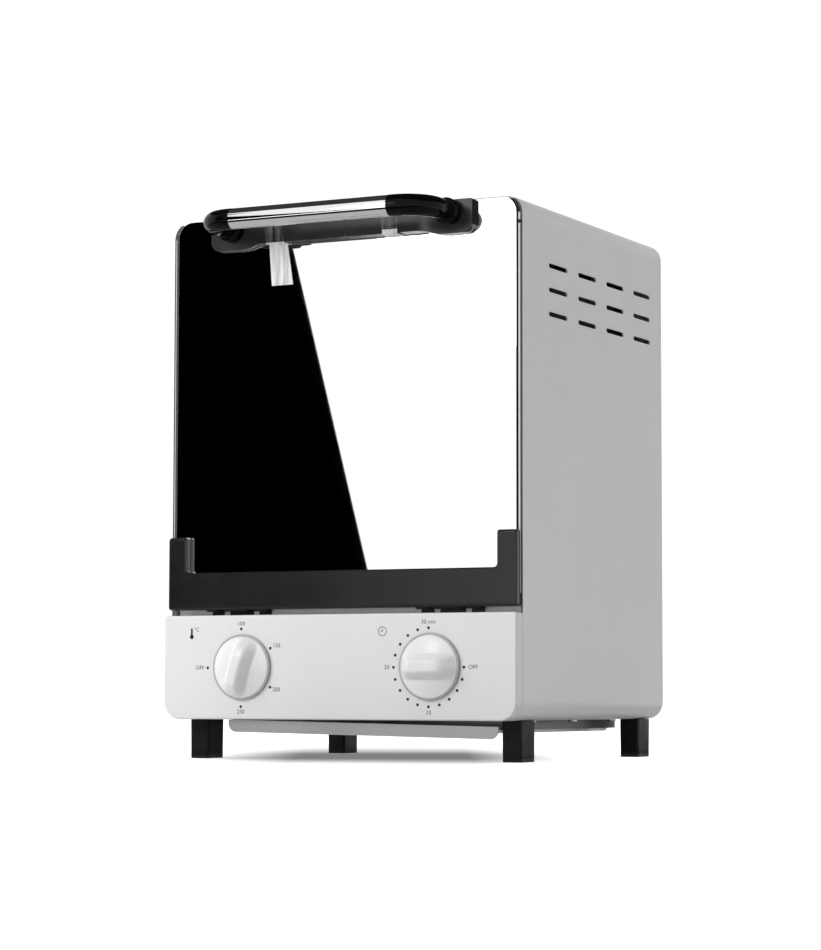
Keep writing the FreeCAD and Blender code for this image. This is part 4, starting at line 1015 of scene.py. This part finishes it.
@dataclass
class KnobForm:
    """Moulded knob: a round body with a domed face and a grip bar with soft edges across it, and a ring
    of painted shade at its edge.
    """

    node: str
    body: Body
    turn: float
    radius: float = 0.0203
    rim: float = 0.0006
    cap_radius: float = 0.0188
    shoulder: float = 0.0013
    face_height: float = 0.0046
    height: float = 0.0108
    grip_half_width: float = 0.0030
    grip_half_foot: float = 0.0080
    grip_end: float = 0.0184
    grip_end_run: float = 0.0060
    grip_steepness: float = 1.1
    grip_side_blend: float = 0.3
    grip_end_blend: float = 0.6
    ring_blend: float = 0.25 * MM
    face_rings: int = 74
    edge_rings: int = 10
    segments: int = 176

    def _height(self, across: float, along: float) -> float:
        """Height of the surface above the knob's back.

        Args:
            across: distance from the axis across the grip.
            along: distance from the axis along the grip.

        Returns:
            The height.
        """
        reach = min(hypot(across, along), self.radius)
        if reach <= self.cap_radius:
            share = reach / self.cap_radius
            base = self.face_height - (self.face_height - self.shoulder) * share * share
        else:
            share = (reach - self.cap_radius) / (self.radius - self.cap_radius)
            base = self.rim + (self.shoulder - self.rim) * sqrt(max(1 - share * share, 0.0))
        flank = (self.grip_half_foot - abs(across)) / (self.grip_half_foot - self.grip_half_width)
        side = soft_least(max(flank, 0.0) * self.grip_steepness, 1.0, self.grip_side_blend)
        fall = (self.grip_end - reach) / self.grip_end_run
        end = soft_least(max(fall, 0.0), 1.0, self.grip_end_blend)
        return base + (self.height - self.face_height) * max(side * end, 0.0)

    def _shade(self, reach: float) -> float:
        """How far a place lies in the ring of painted shade at the knob's edge."""
        return min(max((reach - self.cap_radius) / self.ring_blend + 0.5, 0.0), 1.0)

    def _reaches(self) -> list[float]:
        """Distances of the rings from the axis, closer together at the edge.

        Returns:
            The distances, from the middle outwards.
        """
        step = self.cap_radius / self.face_rings
        edge_step = (self.radius - self.cap_radius) / self.edge_rings
        return ([step * index for index in range(1, self.face_rings + 1)]
                + [self.cap_radius + edge_step * index for index in range(1, self.edge_rings + 1)])

    def _surface(self) -> Shape:
        """Make the knob's closed surface in the place of its node.

        Returns:
            The surface, with a shade value at each point.
        """
        middle, back = middle_of(self.node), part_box(self.node)[1][1]
        grid = bmesh.new()
        # This layer holds the painted shade of the edge ring.
        layer = grid.verts.layers.float.new(PAINTED_SHADE_LAYER)

        def add(reach: float, turn: float, height: float) -> bmesh.types.BMVert:
            """Place one point of the surface, turned with the knob.

            Args:
                reach: its distance from the axis.
                turn: its angle round the axis, before the knob is turned.
                height: its height above the knob's back.

            Returns:
                The point.
            """
            angle = turn + radians(self.turn)
            place = (middle.x + reach * sin(angle), back - height, middle.z + reach * cos(angle))
            vertex = grid.verts.new(place)
            vertex[layer] = self._shade(reach)
            return vertex

        turns = [2 * pi * index / self.segments for index in range(self.segments)]
        top = add(0.0, 0.0, self._height(0.0, 0.0))
        rows = [[add(reach, turn, self._height(reach * sin(turn), reach * cos(turn)))
                 for turn in turns] for reach in self._reaches()]
        rows.append([add(self.radius, turn, 0.0) for turn in turns])
        for index in range(self.segments):
            after = (index + 1) % self.segments
            grid.faces.new((top, rows[0][index], rows[0][after]))
            for inner, outer in zip(rows, rows[1:]):
                grid.faces.new((inner[index], outer[index], outer[after], inner[after]))
        grid.faces.new(rows[-1])
        bmesh.ops.recalc_face_normals(grid, faces=grid.faces)
        # Only the flat back has more than four corners.
        for face in grid.faces:
            face.smooth = len(face.verts) <= 4
        return grid

    def build(self, material: Material) -> None:
        """Make the knob in the place of its CAD node, which it hides.

        Args:
            material: the knob's finish.
        """
        stand_in(self.node, self._surface(), material, self.body)


@dataclass(frozen=True)
class Lamp:
    """One soft rectangular lamp."""

    name: str
    place: Point
    target: Point
    size: Pair
    watts: float
    reflected: bool = False

    def build(self) -> None:
        """Make the lamp, pointed at its target."""
        light = bpy.data.lights.new(self.name, "AREA")
        light.shape = "RECTANGLE"
        light.size, light.size_y = self.size
        light.energy = self.watts
        lamp = bpy.data.objects.new(self.name, light)
        lamp.location = self.place
        aim = Vector(self.target) - Vector(self.place)
        lamp.rotation_euler = aim.to_track_quat("-Z", "Y").to_euler()
        lamp.visible_glossy = self.reflected
        bpy.context.collection.objects.link(lamp)


def level_corners(x: Span, y: Span, height: float) -> list[Point]:
    """The four corners of a level rectangle."""
    (left, right), (front, back) = x, y
    return [(left, front, height), (right, front, height), (right, back, height), (left, back, height)]


@dataclass(frozen=True)
class LevelCard:
    """A level card over the object or on the bench, which only reflections show."""

    name: str
    x: Span
    y: Span
    height: float
    level: float


@dataclass
class Studio:
    """Pale floor with a painted shadow strip, white surroundings, soft lamps and the cards that the
    shiny parts reflect, among them a painted reflection of the handle and painted shade under the body.
    """

    glass_y: float
    camera_place: Vector
    floor_half: float = 15.0
    floor_tone: float = 0.8
    floor_roughness: float = 0.9
    ambient: float = 0.29
    seen_world: float = 1.06
    # Painted shadow: the floor's tone and glow inside the slanting strip.
    shadow_tone: float = 0.05
    shadow_glow: float = 0.215
    shadow_left: Span = (-0.18, -0.08)
    shadow_right: Span = (0.045, 0.115)
    shadow_front: Span = (-0.31, -0.02)
    shadow_back: Span = (0.13, 0.6)
    shadow_slant: float = 0.512
    edge_high: Pair = (-0.0353, 0.3188)
    edge_low: Pair = (0.01825, 0.1167)
    flag_distance: float = 1.0
    flag_left: float = -1.6
    flag_heights: Span = (-0.2, 1.3)
    # Painted reflection: the card that stands in for the handle's underside in the mirror.
    shade_x: Span = (-0.0365, 0.06)
    shade_z: Span = (0.3197, 0.327)
    shade_distance: float = 0.03
    shade_level: float = 68
    level_cards: tuple[LevelCard, ...] = (
        LevelCard("dark_ceiling", (-2.0, 2.0), (-1.04, 3.0), height=1.6, level=58),
        LevelCard("bench_line", (-1.6, 0.8), (-0.89, -0.46), height=0.002, level=40),
        LevelCard("bench_grey", (-1.6, 0.8), (-0.46, 0.3), height=0.002, level=190),
        # shade_below is painted shade: a dim card under the body that only reflections show.
        LevelCard("shade_below", (-0.12, 0.12), (-0.08, 0.125), height=0.003, level=70))
    lamps: tuple[Lamp, ...] = (
        Lamp("window", (-0.42, -1.35, 0.62), (0.06, -0.1, 0.06), (0.4, 0.42), watts=1.6,
             reflected=True),
        Lamp("key", (-0.62, -0.66, 0.5), (-0.05, -0.1, 0.1), (0.5, 0.5), watts=3.7),
        Lamp("top", (0.1, 0.1, 2.0), (0.0, 0.0, 0.18), (1.6, 1.6), watts=18.0),
        Lamp("low", (-0.35, -1.3, 0.1), (0.0, -0.1, 0.08), (0.7, 0.15), watts=2.3))

    @staticmethod
    def _seen(tree: Tree) -> Socket:
        """Mask for the rays that show a surface to the eye.

        Args:
            tree: the tree that asks for it.

        Returns:
            One for camera, glossy and transmission rays, zero for the rest.
        """
        path = add_node(tree, "ShaderNodeLightPath")
        total = path.outputs["Is Camera Ray"]
        for name in ("Is Glossy Ray", "Is Transmission Ray"):
            total = math_node(tree, "MAXIMUM", total, path.outputs[name])
        return total

    def world(self) -> None:
        """White to the eye and in reflections, plainer as a light."""
        world = bpy.data.worlds.new("studio")
        bpy.context.scene.world = world
        world.use_nodes = True
        tree = world.node_tree
        background = tree.nodes["Background"]
        background.inputs["Color"].default_value = (1.0, 1.0, 1.0, 1.0)
        strength = ranged(tree, self._seen(tree), (0.0, 1.0), (self.ambient, self.seen_world))
        tree.links.new(strength, background.inputs["Strength"])

    def _in_painted_shadow(self, tree: Tree) -> Socket:
        """Mask for the soft slanting strip of painted shadow under the object.

        Args:
            tree: the floor's tree.

        Returns:
            One in the strip, zero outside it.
        """
        coords = add_node(tree, "ShaderNodeTexCoord").outputs["Object"]
        split = add_node(tree, "ShaderNodeSeparateXYZ", {0: coords})
        x, y = split.outputs["X"], split.outputs["Y"]
        # The strip slants to the left towards the back: slid runs across it, behind along it.
        slid = math_node(tree, "ADD", x, math_node(tree, "MULTIPLY", y, self.shadow_slant))
        behind = math_node(tree, "SUBTRACT", y, math_node(tree, "MULTIPLY", x, self.shadow_slant))
        inside = ranged(tree, slid, self.shadow_left, (0.0, 1.0))
        for value, span, ends in ((slid, self.shadow_right, (1.0, 0.0)),
                                  (behind, self.shadow_front, (0.0, 1.0)),
                                  (behind, self.shadow_back, (1.0, 0.0))):
            inside = math_node(tree, "MULTIPLY", inside, ranged(tree, value, span, ends))
        return inside

    def floor(self) -> None:
        """Pale floor that shows white, with a painted strip of shadow under the object where its glow
        and tone drop.
        """
        shader = Shader("studio floor")
        shader.set(Roughness=self.floor_roughness, Specular_IOR_Level=0.0, Emission_Color=grey(255))
        inside = self._in_painted_shadow(shader.tree)
        tone = ranged(shader.tree, inside, (0.0, 1.0), (self.floor_tone, self.shadow_tone))
        shader.link(tone, "Base Color")
        glow = ranged(shader.tree, inside, (0.0, 1.0), (1.0, self.shadow_glow))
        seen_glow = math_node(shader.tree, "MULTIPLY", self._seen(shader.tree), glow)
        shader.link(seen_glow, "Emission Strength")
        side = (-self.floor_half, self.floor_half)
        self._card("floor", level_corners(side, side, 0.0), shader.material)

    @staticmethod
    def _card(name: str, corners: Sequence[Sequence[float]],
              material: Material) -> Object:
        """A flat stage piece.

        Args:
            name: its name.
            corners: its corners in order.
            material: its finish.

        Returns:
            The card.
        """
        mesh = bpy.data.meshes.new(name)
        mesh.from_pydata(corners, [], [tuple(range(len(corners)))])
        card = mesh_object(name, mesh, material)
        return card

    def _flag(self, name: str, corners: Sequence[Sequence[float]], level: float) -> None:
        """A card of one even tone that needs no light and only reflections show.

        Args:
            name: its name.
            corners: its corners in order.
            level: its tone, between 0 and 255.
        """
        material = bpy.data.materials.new(name)
        material.use_nodes = True
        tree = material.node_tree
        glow = add_node(tree, "ShaderNodeEmission", {"Color": plain(grey(level))})
        tree.links.new(glow.outputs[0], tree.nodes["Material Output"].inputs["Surface"])
        card = self._card(name, corners, material)
        for ray in ("camera", "diffuse", "transmission", "shadow", "volume_scatter"):
            setattr(card, "visible_" + ray, False)

    def _in_mirror(self, x: float, z: float, distance: float) -> Vector:
        """Where the eye's ray by way of the glass meets a plane in front of the glass.

        Args:
            x: the place on the glass, across.
            z: the place on the glass, upwards.
            distance: how far the plane is from the glass.

        Returns:
            The place on that plane.
        """
        ray = Vector((x, self.glass_y, z)) - self.camera_place
        share = distance / ray.y
        return Vector((x + ray.x * share, self.glass_y - distance, z + ray.z * share))

    def painted_handle_reflection(self) -> None:
        """Painted reflection of the handle's dim underside: a card that only reflections show, placed
        so the mirror shows it below the plate.
        """
        (left, right), (low, high) = self.shade_x, self.shade_z
        places = ((left, low), (right, low), (right, high), (left, high))
        corners = [self._in_mirror(x, z, self.shade_distance) for x, z in places]
        self._flag("painted_handle_reflection", corners, self.shade_level)

    def dark_flag(self) -> None:
        """Dark flag to the left, whose slanting edge shows in the mirror."""
        high = self._in_mirror(*self.edge_high, self.flag_distance)
        low = self._in_mirror(*self.edge_low, self.flag_distance)
        slope = (high.x - low.x) / (high.z - low.z)
        edge = [(low.x + slope * (z - low.z), high.y, z) for z in self.flag_heights]
        far = [(self.flag_left, high.y, z) for z in reversed(self.flag_heights)]
        self._flag("dark_flag", edge + far, 0)

    def build(self) -> None:
        """Set up the whole studio."""
        self.world()
        self.floor()
        self.dark_flag()
        self.painted_handle_reflection()
        for card in self.level_cards:
            self._flag(card.name, level_corners(card.x, card.y, card.height), card.level)
        for lamp in self.lamps:
            lamp.build()


@dataclass(frozen=True)
class Eye:
    """The photograph's camera."""

    place: Point = (0.8340, -1.62525, 0.04075)
    yaw: float = 27.11
    pitch: float = 4.39
    roll: float = 0.12
    focal_pixels: float = 2851.77
    sensor: float = 36.0
    reach: float = 100.0

    def build(self) -> Object:
        """Make the camera and use it.

        Returns:
            The camera.
        """
        data = bpy.data.cameras.new("eye")
        data.sensor_fit = "VERTICAL"
        data.sensor_height = self.sensor
        data.lens = self.focal_pixels * self.sensor / IMAGE_HEIGHT
        data.clip_end = self.reach
        camera = bpy.data.objects.new("eye", data)
        camera.matrix_world = Matrix.Translation(self.place)
        for degrees, axis in ((self.yaw, "Z"), (90 + self.pitch, "X"), (self.roll, "Z")):
            camera.matrix_world = camera.matrix_world @ Matrix.Rotation(radians(degrees), 4, axis)
        bpy.context.collection.objects.link(camera)
        bpy.context.scene.camera = camera
        return camera


def main() -> None:
    """Build everything in order."""
    logging.basicConfig(level=logging.INFO, format="%(message)s")
    scene = bpy.context.scene
    scene.view_settings.view_transform = "Standard"
    camera = Eye().build()
    nodes = frame["nodes"]
    slots = {entry["node"]: entry["material_slot"] for entry in frame["record"]["subparts"]}
    finishes = Finishes(Effects())
    finishes.dress(nodes, slots)
    # The bar is hidden from reflections; the painted handle reflection card stands in for it.
    nodes["handle_bar"].visible_glossy = False
    ControlPrint(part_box("control_panel")[0][1]).build(finishes.ink)
    rounded = [
        SoftEdges("door_glass", Body.DOOR, "mirror_glass", width=1.1 * MM),
        SoftEdges("handle_plate", Body.DOOR, "plate_plastic", width=0.5 * MM),
        SoftEdges("hinge_strip", Body.DOOR, "black_plastic", width=0.35 * MM)]
    for foot in ("front_left_foot", "front_right_foot", "rear_left_foot", "rear_right_foot"):
        rounded.append(SoftEdges(foot, Body.HOUSING, "foot_plastic", width=0.6 * MM))
    for edges in rounded:
        edges.build(nodes, finishes.of(edges.node, edges.slot))
    for knob in (KnobForm("temperature_knob", Body.TEMPERATURE, turn=17.0),
                 KnobForm("timer_knob", Body.TIMER, turn=90.0)):
        knob.build(finishes.by_slot["knob_plastic"])
    Studio(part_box("door_glass")[0][1], camera.matrix_world.translation).build()


if __name__ == "__main__":
    main()
